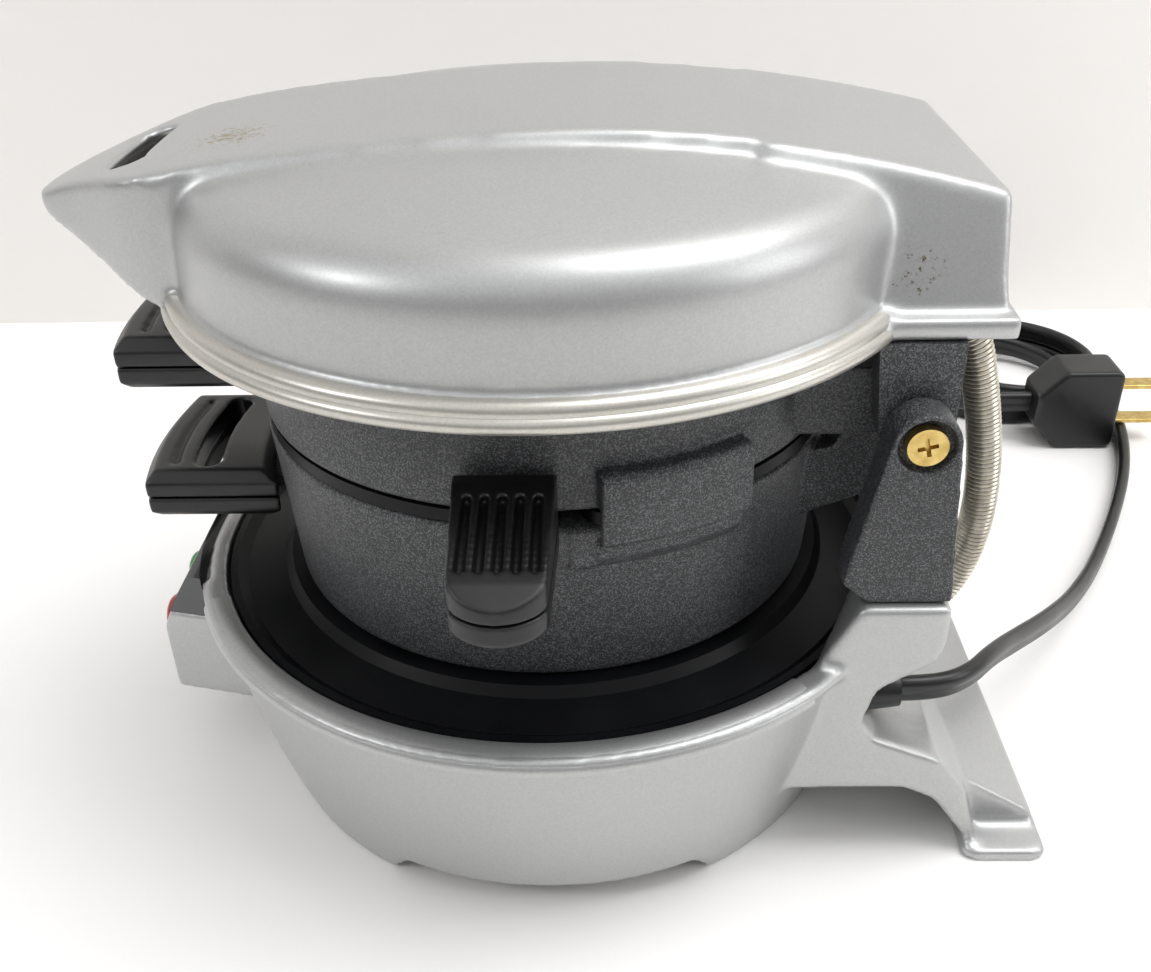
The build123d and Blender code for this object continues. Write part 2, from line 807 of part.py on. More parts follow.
with BuildPart() as cooking_plate:
    with BuildSketch(Plane.XY.offset(cooking_plate_base)) as plate_plan:
        Circle(cooking_plate_radius)
        with Locations((swing_x, swing_y)):
            Circle(bite_radius, mode=Mode.SUBTRACT)
        # round the two corners that the bite leaves on the rim, so that they pass the skirt
        fillet(plate_plan.vertices().sort_by_distance((swing_x, swing_y))[:2], swing_lug_radius)
        with Locations((swing_x, swing_y)):
            Circle(swing_lug_radius)
        with BuildLine():
            inward = radians(swing_angle + 180)
            Polyline(
                (swing_x + swing_lug_radius * cos(inward + 1.45), swing_y + swing_lug_radius * sin(inward + 1.45)),
                (swing_x + swing_lug_radius * cos(inward - 1.45), swing_y + swing_lug_radius * sin(inward - 1.45)),
                (swing_x + 1.3 * bite_radius * cos(inward - 0.6), swing_y + 1.3 * bite_radius * sin(inward - 0.6)),
                (swing_x + 1.3 * bite_radius * cos(inward + 0.6), swing_y + 1.3 * bite_radius * sin(inward + 0.6)),
                close=True,
            )
        make_face()
        with Locations(((cooking_plate_radius - 4 + tang_end) / 2, plate_grip_centre)):
            Rectangle(tang_end - cooking_plate_radius + 4, 2 * tang_half_width)
        with Locations((tang_end - 5, plate_grip_centre)):
            Circle(1.6, mode=Mode.SUBTRACT)
    extrude(amount=cooking_plate_thickness)
    # shallow dish that holds the egg
    with BuildSketch(Plane.XY.offset(cooking_plate_top - 0.7)):
        Circle(ring_bore_radius - 2)
    extrude(amount=2, mode=Mode.SUBTRACT)
    # bore and counterbore of the swing pin
    with BuildSketch(Plane.XY.offset(cooking_plate_base)):
        with Locations((swing_x, swing_y)):
            Circle(swing_pin_radius + body_gap / 2)
    extrude(amount=cooking_plate_thickness, mode=Mode.SUBTRACT)
    with BuildSketch(Plane.XY.offset(cooking_plate_base)):
        with Locations((swing_x, swing_y)):
            Circle(swing_head_radius + body_gap)
    extrude(amount=1.3, mode=Mode.SUBTRACT)
save("cooking_plate", cooking_plate)


def plate_grip_plan(inset=0.0):
    """The plan of the cooking plate's handle: straight sides and a round end."""
    half = plate_grip_half_width - inset
    with BuildSketch(Plane.XY.offset(plate_grip_base)) as plan:
        with BuildLine():
            Line((plate_grip_start, plate_grip_centre - half), (plate_grip_reach - 4.5, plate_grip_centre - half + 1))
            ThreePointArc(
                (plate_grip_reach - 4.5, plate_grip_centre - half + 1),
                (plate_grip_reach - inset, plate_grip_centre),
                (plate_grip_reach - 4.5, plate_grip_centre + half - 1),
            )
            Line((plate_grip_reach - 4.5, plate_grip_centre + half - 1), (plate_grip_start, plate_grip_centre + half))
            Line((plate_grip_start, plate_grip_centre + half), (plate_grip_start, plate_grip_centre - half))
        make_face()
    return plan.sketch


def tang_room():
    """The pocket for the plate's tang, open towards the plate."""
    with BuildPart() as room:
        with BuildSketch(Plane.XY.offset(cooking_plate_base - fit_gap)):
            with Locations(((plate_grip_start - 1 + tang_end + fit_gap) / 2, plate_grip_centre)):
                Rectangle(tang_end + fit_gap - plate_grip_start + 1, 2 * (tang_half_width + fit_gap))
        extrude(amount=cooking_plate_thickness + 2 * fit_gap)
    return room.part


with BuildPart() as plate_grip_lower:
    extrude(plate_grip_plan(), amount=plate_grip_seam - fit_gap - plate_grip_base)
    chamfer(plate_grip_lower.faces().sort_by(Axis.Z)[0].edges().filter_by(GeomType.CIRCLE), 1.4)
    with BuildSketch(Plane.XY.offset(plate_grip_base - 1)):
        with Locations((tang_end - 5, plate_grip_centre)):
            Circle(4.4)
    extrude(amount=2)
    add(tang_room(), mode=Mode.SUBTRACT)
    with BuildSketch(Plane.XY.offset(plate_grip_base - 1)):
        with Locations((tang_end - 5, plate_grip_centre)):
            Circle(1.35)
    extrude(amount=10, mode=Mode.SUBTRACT)
    with BuildSketch(Plane.XY.offset(plate_grip_base - 1)):
        with Locations((tang_end - 5, plate_grip_centre)):
            Circle(2.8)
    extrude(amount=1.6, mode=Mode.SUBTRACT)
save("plate_grip_lower", plate_grip_lower)

with BuildPart() as plate_grip_upper:
    extrude(plate_grip_plan(), amount=plate_grip_top - plate_grip_base)
    with BuildSketch(Plane.XZ.offset(-plate_grip_centre + plate_grip_half_width + 1)):
        with BuildLine():
            Polyline(
                (plate_grip_start - 1, plate_grip_seam + fit_gap),
                (plate_grip_reach + 1, plate_grip_seam + fit_gap),
                (plate_grip_reach + 1, plate_grip_tip - 2.6),
                (plate_grip_reach - 4.5, plate_grip_tip),
                (plate_grip_start + 3, plate_grip_top),
                (plate_grip_start - 1, plate_grip_top),
                close=True,
            )
        make_face()
    extrude(amount=-2 * plate_grip_half_width - 2, mode=Mode.INTERSECT)
    # finger grooves along the handle
    with BuildSketch(Plane(origin=(plate_grip_start, plate_grip_centre, plate_grip_top + 1.2), x_dir=(1, 0, (plate_grip_tip - plate_grip_top) / (plate_grip_reach - plate_grip_start - 7.5)), z_dir=((plate_grip_top - plate_grip_tip) / (plate_grip_reach - plate_grip_start - 7.5), 0, 1))):
        with Locations(*[(14.5, 3.0 * k) for k in (-2, -1, 0, 1, 2)]):
            SlotOverall(17, 1.6)
    extrude(amount=-2.2, mode=Mode.SUBTRACT)
    add(tang_room(), mode=Mode.SUBTRACT)
    with BuildSketch(Plane.XY.offset(cooking_plate_top)):
        with Locations((tang_end - 5, plate_grip_centre)):
            Circle(1.35)
    extrude(amount=2.6, mode=Mode.SUBTRACT)
save("plate_grip_upper", plate_grip_upper)

with BuildPart() as plate_grip_screw:
    with BuildSketch(Plane.XY.offset(plate_grip_base - 1 + fit_gap)):
        with Locations((tang_end - 5, plate_grip_centre)):
            Circle(2.6)
    extrude(amount=1.3)
    with BuildSketch(Plane.XY.offset(plate_grip_base)):
        with Locations((tang_end - 5, plate_grip_centre)):
            Circle(1.2)
    extrude(amount=cooking_plate_top + 2.4 - plate_grip_base)
save("plate_grip_screw", plate_grip_screw)


# ---------------------------------------------------------------- cover
def spine_side(inset, floor):
    """Side view of the spine, from the nose to the back, lowered by inset."""
    with BuildSketch(Plane.YZ) as side:
        with BuildLine():
            top_line = Spline(
                (-nose_reach - 2, nose_height + 1.6 - inset),
                (-nose_reach * 0.75, spine_apex - 8.2 - inset),
                (-nose_reach * 0.3, spine_apex - 2.0 - inset),
                (10, spine_apex - inset),
                (box_back * 0.55, spine_apex - 3.0 - inset),
                (box_back + 1, spine_apex - 11.0 - inset),
            )
            Line(top_line @ 1, (box_back + 1, floor))
            Line((box_back + 1, floor), (-nose_reach - 2, floor))
            Line((-nose_reach - 2, floor), top_line @ 0)
        make_face()
    return side.sketch


def spine_plan(inset):
    """Plan of the spine: a pointed round nose and straight sides."""
    reach = nose_reach - 1.3 * inset
    half = spine_half_width - inset
    with BuildSketch(Plane.XY.offset(cover_edge_height - 30)) as plan:
        with BuildLine():
            Spline(
                (0, -reach),
                (half * 0.45, -reach * 0.91),
                (half * 0.78, -reach * 0.8),
                (half, -reach * 0.66),
                tangents=((1, 0), (0, 1)),
            )
            Line((half, -reach * 0.66), (half, box_back - 4))
            Line((half, box_back - 4), (0, box_back - 4))
            mirror(about=Plane.YZ)
        make_face()
    return plan.sketch


def cover_form(inset, floor):
    """The outline of the cover, drawn in by inset, down to the floor height."""
    with BuildPart() as spine:
        extrude(spine_plan(inset), amount=80)
        extrude(spine_side(inset, floor), amount=spine_half_width + 5, both=True, mode=Mode.INTERSECT)
    with BuildPart() as box:
        with BuildSketch(Plane.XZ.offset(-40)):
            with BuildLine():
                rise = spine_apex - cover_edge_height
                lean = (box_foot_half_width - box_top_half_width) / (rise * 0.65)
                drop = cover_edge_height - floor
                Polyline(
                    (-box_foot_half_width + inset - lean * drop, floor),
                    (-box_foot_half_width + inset + lean * (rise + 5), spine_apex + 5),
                    (box_foot_half_width - inset - lean * (rise + 5), spine_apex + 5),
                    (box_foot_half_width - inset + lean * drop, floor),
                    close=True,
                )
            make_face()
        extrude(amount=-(box_back - inset - 40))
        extrude(spine_side(inset, floor), amount=box_foot_half_width + 5, both=True, mode=Mode.INTERSECT)
    with BuildPart() as form:
        with BuildSketch(Plane.XZ):
            with BuildLine():
                ball = dome_curvature - inset
                centre = dome_apex - dome_curvature
                edge_r = dome_top_radius - inset
                edge_z = centre + sqrt(ball**2 - edge_r**2)
                mid_r = edge_r / 2
                Line((0, floor), (dome_foot_radius - inset, floor))
                Line((dome_foot_radius - inset, floor), (edge_r, edge_z))
                ThreePointArc(
                    (edge_r, edge_z), (mid_r, centre + sqrt(ball**2 - mid_r**2)), (0, centre + ball)
                )
                Line((0, centre + ball), (0, floor))
            face = make_face()
            corner = face.vertices().sort_by_distance((edge_r, edge_z))[0]
            fillet(corner, dome_edge_radius - inset)
        revolve(axis=Axis.Z)
        add(spine.part)
        add(box.part)
    return form.part


bracket_top = cover_edge_height + 4.8
# bosses for the hinge bracket and for the top heating plate, up into the wall above them
with BuildPart() as cover_bosses:
    with BuildSketch(Plane.XY.offset(bracket_top + fit_gap)):
        with Locations((-24, 66), (24, 66)):
            Circle(4)
    extrude(amount=40)
    with BuildSketch(Plane.XY.offset(top_heater_base + 3 + fit_gap)):
        with PolarLocations(50, 3, start_angle=30):
            Circle(3.6)
    extrude(amount=40)
    add(cover_form(cover_wall / 2, cover_edge_height), mode=Mode.INTERSECT)

with BuildPart() as cover_shell:
    add(cover_form(0, cover_edge_height))
    # bead round the edge, and the straight flange at the back
    with BuildSketch(Plane.XZ):
        with BuildLine():
            Polyline(
                (dome_foot_radius - 1, cover_edge_height),
                (bead_radius, cover_edge_height),
                (bead_radius, cover_edge_height + 0.45 * bead_height),
                (bead_radius - 1.3, cover_edge_height + 0.55 * bead_height),
                (bead_radius - 1.3, cover_edge_height + bead_height),
                (dome_foot_radius - 1, cover_edge_height + bead_height),
                close=True,
            )
        make_face()
    revolve(axis=Axis.Z)
    with BuildSketch(Plane.XY.offset(cover_edge_height)):
        with Locations((0, (40 + box_back + flange_overhang) / 2)):
            Rectangle(2 * flange_half_width, box_back + flange_overhang - 40)
    extrude(amount=flange_height)
    # underside of the nose, rising to its tip
    with BuildSketch(Plane.YZ):
        with BuildLine():
            Polyline(
                (-dome_foot_radius + 4, cover_edge_height - 1),
                (-dome_foot_radius + 4, cover_edge_height),
                (-nose_reach + 1, nose_height - 0.6),
                (-nose_reach - 5, nose_height + 3),
                (-nose_reach - 5, cover_edge_height - 1),
                close=True,
            )
        make_face()
    extrude(amount=spine_half_width + 6, both=True, mode=Mode.SUBTRACT)
    add(cover_form(cover_wall, cover_edge_height - 20), mode=Mode.SUBTRACT)
    # finger slot through the nose
    with BuildSketch(Plane.XY.offset(cover_edge_height)):
        with BuildLine():
            finger_line = CenterArc((0, 0), nose_reach * 0.79, -90 - 7.5, 15)
        SlotArc(finger_line, 6.5)
    extrude(amount=spine_apex, mode=Mode.SUBTRACT)
    add(cover_bosses.part)
    with BuildSketch(Plane.XY.offset(cover_edge_height)):
        with Locations((-24, 66), (24, 66)):
            Circle(1.5)
        with PolarLocations(50, 3, start_angle=30):
            Circle(1.5)
    extrude(amount=16, mode=Mode.SUBTRACT)
save("cover_shell", cover_shell)

box_lean = (box_foot_half_width - box_top_half_width) / (0.65 * (spine_apex - cover_edge_height))
bracket_half_width = box_foot_half_width - cover_wall - box_lean * 4.8 - 2 * fit_gap
bracket_front = 61.0
bracket_depth = 11.2
arm_top = cover_edge_height - fit_gap
neck_inner = cover_arm_inner - arm_width

with BuildPart() as cover_hinge_bracket:
    with BuildSketch(Plane.XY.offset(bracket_top - 3)):
        with Locations((0, bracket_front + bracket_depth / 2)):
            Rectangle(2 * bracket_half_width, bracket_depth)
        with Locations((-24, 66), (24, 66)):
            Circle(1.6, mode=Mode.SUBTRACT)
    extrude(amount=3)
    for side in (-1, 1):
        # neck inside the shell, down to the arm below the shell's edge
        with BuildSketch(Plane.XY.offset(arm_top - 3.6)):
            with Locations((side * (neck_inner + cover_arm_inner + 0.6) / 2, bracket_front + bracket_depth / 2)):
                Rectangle(cover_arm_inner + 0.6 - neck_inner, bracket_depth)
        extrude(amount=3.6)
        with BuildSketch(Plane.XY.offset(arm_top - 0.4)):
            with Locations((side * (neck_inner + bracket_half_width) / 2, bracket_front + bracket_depth / 2)):
                Rectangle(bracket_half_width - neck_inner, bracket_depth)
        extrude(amount=bracket_top - 2.6 - arm_top)
        with BuildSketch(Plane.YZ.offset(side * cover_arm_inner)):
            with BuildLine():
                Polyline(
                    (60.5, arm_top),
                    (76.0, arm_top),
                    (hinge_y + arm_eye_radius, hinge_z),
                    (hinge_y - arm_eye_radius, hinge_z),
                    close=True,
                )
            make_face()
            with Locations((hinge_y, hinge_z)):
                Circle(arm_eye_radius)
        extrude(amount=side * arm_width)
        with BuildSketch(Plane.YZ.offset(side * cover_arm_inner)):
            with Locations((hinge_y, hinge_z)):
                Circle(hinge_pin_radius + body_gap)
        extrude(amount=side * arm_width, mode=Mode.SUBTRACT)
save("cover_hinge_bracket", cover_hinge_bracket)

with BuildPart() as bracket_screws:
    for x in (-24, 24):
        with BuildSketch(Plane.XY.offset(bracket_top - 3 - 1.7)):
            with Locations((x, 66)):
                Circle(2.8)
        extrude(amount=1.6)
        with BuildSketch(Plane.XY.offset(bracket_top - 3 - 0.2)):
            with Locations((x, 66)):
                Circle(1.35)
        extrude(amount=9)
save("bracket_screws", bracket_screws)

with BuildPart() as top_heating_plate:
    with BuildSketch(Plane.XZ):
        with BuildLine():
            Polyline(
                (0, top_heater_base),
                (ring_crown_radius - 1.0, top_heater_base),
                (ring_crown_radius, top_heater_base + 1.0),
                (ring_crown_radius, top_heater_base + 3.0),
                (0, top_heater_base + 3.0),
                close=True,
            )
        make_face()
    revolve(axis=Axis.Z)
    with BuildSketch(Plane.XY.offset(top_heater_base)):
        with PolarLocations(50, 3, start_angle=30):
            Circle(1.6)
    extrude(amount=5, mode=Mode.SUBTRACT)
save("top_heating_plate", top_heating_plate)

with BuildPart() as heater_screws:
    with BuildSketch(Plane.XY.offset(top_heater_base + 0.1)):
        with PolarLocations(50, 3, start_angle=30):
            Circle(1.35)
    extrude(amount=9)
save("heater_screws", heater_screws)

top_element_height = top_heater_base + 3 + element_gap + element_tube_radius
top_heating_element = heating_element(top_element_height, top_element_height + 9)
save("top_heating_element", top_heating_element)

with BuildPart() as top_thermostat:
    with BuildSketch(Plane.XY.offset(top_heater_base + 3 + fit_gap)):
        Circle(8.5)
    extrude(amount=9)
    with BuildSketch(Plane.XY.offset(top_heater_base + 4.5)):
        SlotOverall(30, 7)
    extrude(amount=1.2)
save("top_thermostat", top_thermostat)

with BuildPart() as cover_liner:
    liner_outer = dome_foot_radius - cover_wall - body_gap
    with BuildSketch(Plane.XY.offset(top_heater_base - 1.6)):
        Circle(liner_outer - 0.6)
        Circle(ring_crown_radius + 1.0, mode=Mode.SUBTRACT)
        with Locations((0, 80)):
            Rectangle(2 * box_foot_half_width + 6, 60, mode=Mode.SUBTRACT)
    extrude(amount=1.6)
save("cover_liner", cover_liner)

# ---------------------------------------------------------------- conduit between base and cover
conduit_points = [
    (conduit_x, 77.0, bracket_top + 1.0),
    (conduit_x, 77.1, 111.0),
    (conduit_x, 83.4, 101.0),
    (conduit_x, 89.6, 87.5),
    (conduit_x, 92.6, 72.0),
    (conduit_x, 92.9, 57.0),
    (conduit_x, 90.4, 45.0),
    (conduit_x, 85.2, conduit_end_height),
    (conduit_x, conduit_end_y, conduit_end_height),
]


def arc_radii(points):
    """The radius at each corner of a route: as large as its two runs allow."""
    radii = []
    for before, corner, after in zip(points, points[1:], points[2:]):
        a = Vector(*corner) - Vector(*before)
        b = Vector(*after) - Vector(*corner)
        turn = radians(a.get_angle(b))
        radii.append(0.45 * min(a.length, b.length) / tan(turn / 2))
    return radii


def tube(points, radius, bore=0.0):
    """A round tube along straight runs joined by tangent arcs, and the route's length."""
    with BuildPart() as hose:
        with BuildLine() as route:
            FilletPolyline(*points, radius=arc_radii(points))
        with BuildSketch(Plane(origin=route.line @ 0, z_dir=route.line % 0)):
            Circle(radius)
            if bore:
                Circle(bore, mode=Mode.SUBTRACT)
        sweep(path=route.line)
    length = route.wires()[0].length
    share = hose.part.volume / (pi * (radius**2 - bore**2) * length)
    print(f"tube: length {length:.1f}, volume share {share:.4f}")
    print("  radii", [round(r, 1) for r in arc_radii(points)])
    return hose, length


conduit, conduit_length = tube(conduit_points, conduit_radius, conduit_bore)
save("conduit", conduit)

with BuildPart() as lower_ferrule:
    with BuildSketch(Plane.XZ.offset(-76.3)):
        with Locations((conduit_x, conduit_end_height)):
            RegularPolygon(conduit_radius + 1.0, 6, major_radius=False)
            Circle(conduit_radius + fit_gap, mode=Mode.SUBTRACT)
    extrude(amount=-3.0)
save("lower_ferrule", lower_ferrule)

with BuildPart() as upper_ferrule:
    with BuildSketch(Plane.XY.offset(cover_edge_height + 0.6)):
        with Locations((conduit_x, 77.0)):
            Circle(conduit_radius + 0.6)
            Circle(conduit_radius + 0.2, mode=Mode.SUBTRACT)
    extrude(amount=4.2)
save("upper_ferrule", upper_ferrule)

# ---------------------------------------------------------------- cord, wound bundle and plug
cord_rise = cord_diameter / 2 + 0.2
coil_radius = 31.0
coil_pitch = 7.0
coil_layer_rise = 7.0
coil_half_turns = 5
coil_x = -167.0
coil_y = 158.0
coil_lead = 8.0
plug_width = 28.0
plug_thickness = 16.0
plug_length = 27.0
plug_x = -128.0
plug_y = 156.0
plug_z = plug_width / 2 + 0.2
prong_spread = 12.7
prong_length = 16.0

cord_points = [
    (cord_exit_x, strain_exit + fit_gap, cord_exit_height),
    (cord_exit_x, 81.0, cord_exit_height),
    (38.6, 89.0, 36.0),
    (29.0, 96.4, 33.6),
    (15.5, 107.0, 27.0),
    (0.0, 120.0, 20.2),
    (-20.0, 134.4, 11.0),
    (-45.0, 150.5, cord_rise + 0.8),
    (-73.0, 166.5, cord_rise),
    (-101.0, 180.0, cord_rise),
    (-130.0, coil_y + coil_radius, cord_rise),
    (coil_x + coil_lead + fit_gap, coil_y + coil_radius, cord_rise),
]

with BuildPart() as strain_relief:
    with BuildSketch(Plane.XZ.offset(-strain_collar_y)):
        with Locations((cord_exit_x, cord_exit_height)):
            Circle(strain_radius + 1.4)
    extrude(amount=2)
    with BuildSketch(Plane.XZ.offset(-strain_collar_y)):
        with Locations((cord_exit_x, cord_exit_height)):
            Circle(strain_radius)
    extrude(amount=-13.5)
    with BuildSketch(Plane.XZ.offset(-strain_collar_y - 13.5)):
        with Locations((cord_exit_x, cord_exit_height)):
            Circle(strain_radius)
    with BuildSketch(Plane.XZ.offset(-strain_exit)):
        with Locations((cord_exit_x, cord_exit_height)):
            Circle(cord_diameter / 2 + 0.7)
    loft()
save("strain_relief", strain_relief)

power_cord, cord_run = tube(cord_points, cord_diameter / 2)
save("power_cord", power_cord)


def half_turn(start, heading, end):
    """Two tangent quarter arcs that leave one way and come back the other."""
    middle = (start + end) * 0.5 + heading * ((end - start).length / 2)
    first = TangentArc(start, middle, tangent=heading)
    TangentArc(middle, end, tangent=first % 1)


def coil_ends():
    """The ends of each half turn: inwards below, a climb where the spiral turns, outwards above."""
    middle = coil_half_turns // 2
    centre, radius, height = coil_y, coil_radius, cord_rise
    corners = [Vector(coil_x, centre + radius, height)]
    for k in range(coil_half_turns):
        side = -1 if k % 2 == 0 else 1
        height += coil_layer_rise if k == middle else 0
        corners.append(Vector(coil_x, centre + side * radius, height))
        step = coil_pitch / 2 if k < middle else -coil_pitch / 2
        radius -= step
        centre += side * step
    return corners


coil_corners = coil_ends()
with BuildPart() as cord_coil:
    with BuildLine() as coil_route:
        inward, outward = Vector(-1, 0, 0), Vector(1, 0, 0)
        Line(coil_corners[0] + outward * coil_lead, coil_corners[0])
        for k, (near, far) in enumerate(zip(coil_corners, coil_corners[1:])):
            half_turn(near, inward if k % 2 == 0 else outward, far)
        Line(coil_corners[-1], coil_corners[-1] + outward * coil_lead)
    with BuildSketch(Plane(origin=coil_route.line @ 0, z_dir=coil_route.line % 0)):
        Circle(cord_diameter / 2)
    sweep(path=coil_route.line)
save("cord_coil", cord_coil)

coil_wire = coil_route.wires()[0]
coil_length = coil_wire.length
coil_samples = [coil_wire @ (k / 400) for k in range(401)]
coil_clear = min(
    (a - b).length
    for i, a in enumerate(coil_samples)
    for b in coil_samples[i + int(400 * 3 * cord_diameter / coil_length) :]
)
print(f"coil: length {coil_length:.1f}, least gap to itself {coil_clear - cord_diameter:.2f}")

# the last stretch rises from the top of the bundle to the plug, which stands on edge
tail_start = coil_corners[-1] + Vector(coil_lead + fit_gap, 0, 0)
tail_points = [
    (tail_start.X, tail_start.Y, tail_start.Z),
    (-148.0, tail_start.Y, tail_start.Z),
    (-136.0, 131.2, 12.0),
    (-128.8, 140.0, 13.8),
    (plug_x, 148.0, plug_z),
    (plug_x, plug_y - fit_gap, plug_z),
]
cord_tail, tail_run = tube(tail_points, cord_diameter / 2)
save("cord_tail", cord_tail)
print(f"cord: total length {cord_run + coil_length + tail_run:.1f} of {cord_length_wanted:.0f}")

with BuildPart() as plug_body:
    with BuildSketch(Plane.YZ.offset(plug_x - plug_thickness / 2)):
        with BuildLine():
            Polyline(
                (plug_y, plug_z - 5.5),
                (plug_y + 8.0, 0.2),
                (plug_y + plug_length, 0.2),
                (plug_y + plug_length, plug_width + 0.2),
                (plug_y + 8.0, plug_width + 0.2),
                (plug_y, plug_z + 5.5),
                close=True,
            )
        make_face()
    extrude(amount=plug_thickness)
    fillet(plug_body.edges().filter_by(Axis.X), 2.5)
    fillet(plug_body.faces().filter_by(Axis.X).edges(), 1.2)
    with BuildSketch(Plane.XZ.offset(-plug_y - plug_length)):
        with Locations((plug_x, plug_z - prong_spread / 2), (plug_x, plug_z + prong_spread / 2)):
            Rectangle(6.4 + 2 * fit_gap, 1.5 + 2 * fit_gap)
    extrude(amount=6, mode=Mode.SUBTRACT)
save("plug_body", plug_body)

with BuildPart() as plug_prongs:
    with BuildSketch(Plane.XZ.offset(-plug_y - plug_length + 6 - fit_gap)):
        with Locations((plug_x, plug_z - prong_spread / 2), (plug_x, plug_z + prong_spread / 2)):
            RectangleRounded(6.4, 1.5, 0.5)
    extrude(amount=-prong_length - 6)
save("plug_prongs", plug_prongs)
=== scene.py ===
"""Dresses the breakfast sandwich maker: finishes, rounded mouldings, cord, conduit and studio.

Everything is in metres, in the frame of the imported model: +X the user's right, +Y the hinge,
+Z up, the origin on the table under the middle of the round cooking parts.
"""

from __future__ import annotations

import json
import logging
import math
from dataclasses import dataclass
from enum import Enum
from typing import Any, Callable, Sequence

import bmesh
import bpy
from mathutils import Matrix, Vector


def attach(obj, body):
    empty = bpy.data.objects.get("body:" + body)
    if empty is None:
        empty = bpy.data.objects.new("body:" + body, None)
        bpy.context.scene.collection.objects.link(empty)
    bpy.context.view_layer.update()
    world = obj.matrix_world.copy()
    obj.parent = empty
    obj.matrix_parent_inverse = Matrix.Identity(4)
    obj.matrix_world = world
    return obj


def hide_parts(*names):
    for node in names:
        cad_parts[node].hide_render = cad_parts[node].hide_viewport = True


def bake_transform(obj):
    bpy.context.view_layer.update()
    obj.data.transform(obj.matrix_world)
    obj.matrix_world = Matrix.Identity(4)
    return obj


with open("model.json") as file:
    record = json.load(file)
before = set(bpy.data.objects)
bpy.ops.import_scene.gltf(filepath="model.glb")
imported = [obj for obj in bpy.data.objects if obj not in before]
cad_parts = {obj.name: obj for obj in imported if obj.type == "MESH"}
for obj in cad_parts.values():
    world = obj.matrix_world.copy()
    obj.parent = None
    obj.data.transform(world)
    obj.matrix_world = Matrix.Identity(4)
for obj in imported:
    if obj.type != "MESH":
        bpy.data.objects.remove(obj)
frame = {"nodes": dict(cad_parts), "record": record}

LOG = logging.getLogger("sandwich_maker")
MM = 0.001
UP = Vector((0.0, 0.0, 1.0))
WELD_DISTANCE = 0.002 * MM
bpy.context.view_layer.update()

Colour = tuple[float, float, float, float]
Point = tuple[float, float, float]
Pairs = Sequence[tuple[float, float]]
Material = bpy.types.Material
Node = bpy.types.Node
Piece = bpy.types.Object
Socket = bpy.types.NodeSocket
Surface = bmesh.types.BMesh
Tree = bpy.types.NodeTree


# ---------------------------------------------------------------- helpers
def hex_colour(code: str) -> Colour:
    """Turn an sRGB hex code into the linear colour that a shader takes.

    Args:
        code: six hex digits, such as "B5B8BA".

    Returns:
        Linear red, green, blue and an alpha of one.
    """
    parts = [int(code[i : i + 2], 16) / 255 for i in (0, 2, 4)]
    linear = [p / 12.92 if p <= 0.04045 else ((p + 0.055) / 1.055) ** 2.4 for p in parts]
    return (linear[0], linear[1], linear[2], 1.0)


def mm(*values: float) -> Vector:
    """Millimetres to a vector in metres."""
    return Vector(values) * MM


def add_node(
    tree: Tree,
    kind: str,
    settings: dict[str, Any] | None = None,
    inputs: dict[str | int, Any] | None = None,
) -> Node:
    """Add one node with its settings, its socket values and its links.

    Args:
        tree: the shader or geometry tree that gets the node.
        kind: the node's type name.
        settings: attributes of the node to set.
        inputs: socket name or number to a value, or to an output socket that is linked to it.

    Returns:
        The new node.
    """
    node = tree.nodes.new(kind)
    for name, value in (settings or {}).items():
        setattr(node, name, value)
    for key, value in (inputs or {}).items():
        socket = node.inputs[key]
        if isinstance(value, Socket):
            tree.links.new(value, socket)
        else:
            socket.default_value = value
    return node


def ramp(tree: Tree, factor: Socket, stops: Sequence[tuple[float, Colour]]) -> Socket:
    """Add a colour ramp.

    Args:
        tree: the tree that gets it.
        factor: what runs along the ramp.
        stops: place and colour of each stop, in order.

    Returns:
        The ramp's colour.
    """
    node = add_node(tree, "ShaderNodeValToRGB", inputs={"Fac": factor})
    elements = node.color_ramp.elements
    while len(elements) < len(stops):
        elements.new(0.5)
    for element, (place, colour) in zip(elements, stops):
        element.position = place
        element.color = colour
    return node.outputs["Color"]


def map_range(
    tree: Tree,
    value: Socket,
    source: tuple[float, float] = (0.0, 1.0),
    target: tuple[float, float] = (0.0, 1.0),
) -> Socket:
    """Map a value from one range to another, held at both ends.

    Args:
        tree: the tree that gets the node.
        value: what is mapped.
        source: the range that it comes from.
        target: the range that it goes to.

    Returns:
        The mapped value.
    """
    labels = ("From Min", "From Max", "To Min", "To Max")
    inputs = {"Value": value, **dict(zip(labels, source + target))}
    node = add_node(tree, "ShaderNodeMapRange", inputs=inputs)
    return node.outputs["Result"]


def maths(tree: Tree, operation: str, first: Socket, second: Socket | float) -> Socket:
    """The result of one operation on two numbers."""
    node = add_node(tree, "ShaderNodeMath", {"operation": operation}, {0: first, 1: second})
    return node.outputs["Value"]


def noise(
    tree: Tree,
    place: Socket,
    scale: float,
    detail: float = 2.0,
    roughness: float = 0.5,
) -> Socket:
    """Soft noise over the object."""
    inputs = {"Vector": place, "Scale": scale, "Detail": detail, "Roughness": roughness}
    return add_node(tree, "ShaderNodeTexNoise", inputs=inputs).outputs["Fac"]


def grain(tree: Tree, place: Socket, size_mm: float) -> Node:
    """Cells of about this size over the object."""
    inputs = {"Vector": place, "Scale": 1 / (size_mm * MM)}
    return add_node(tree, "ShaderNodeTexVoronoi", inputs=inputs)


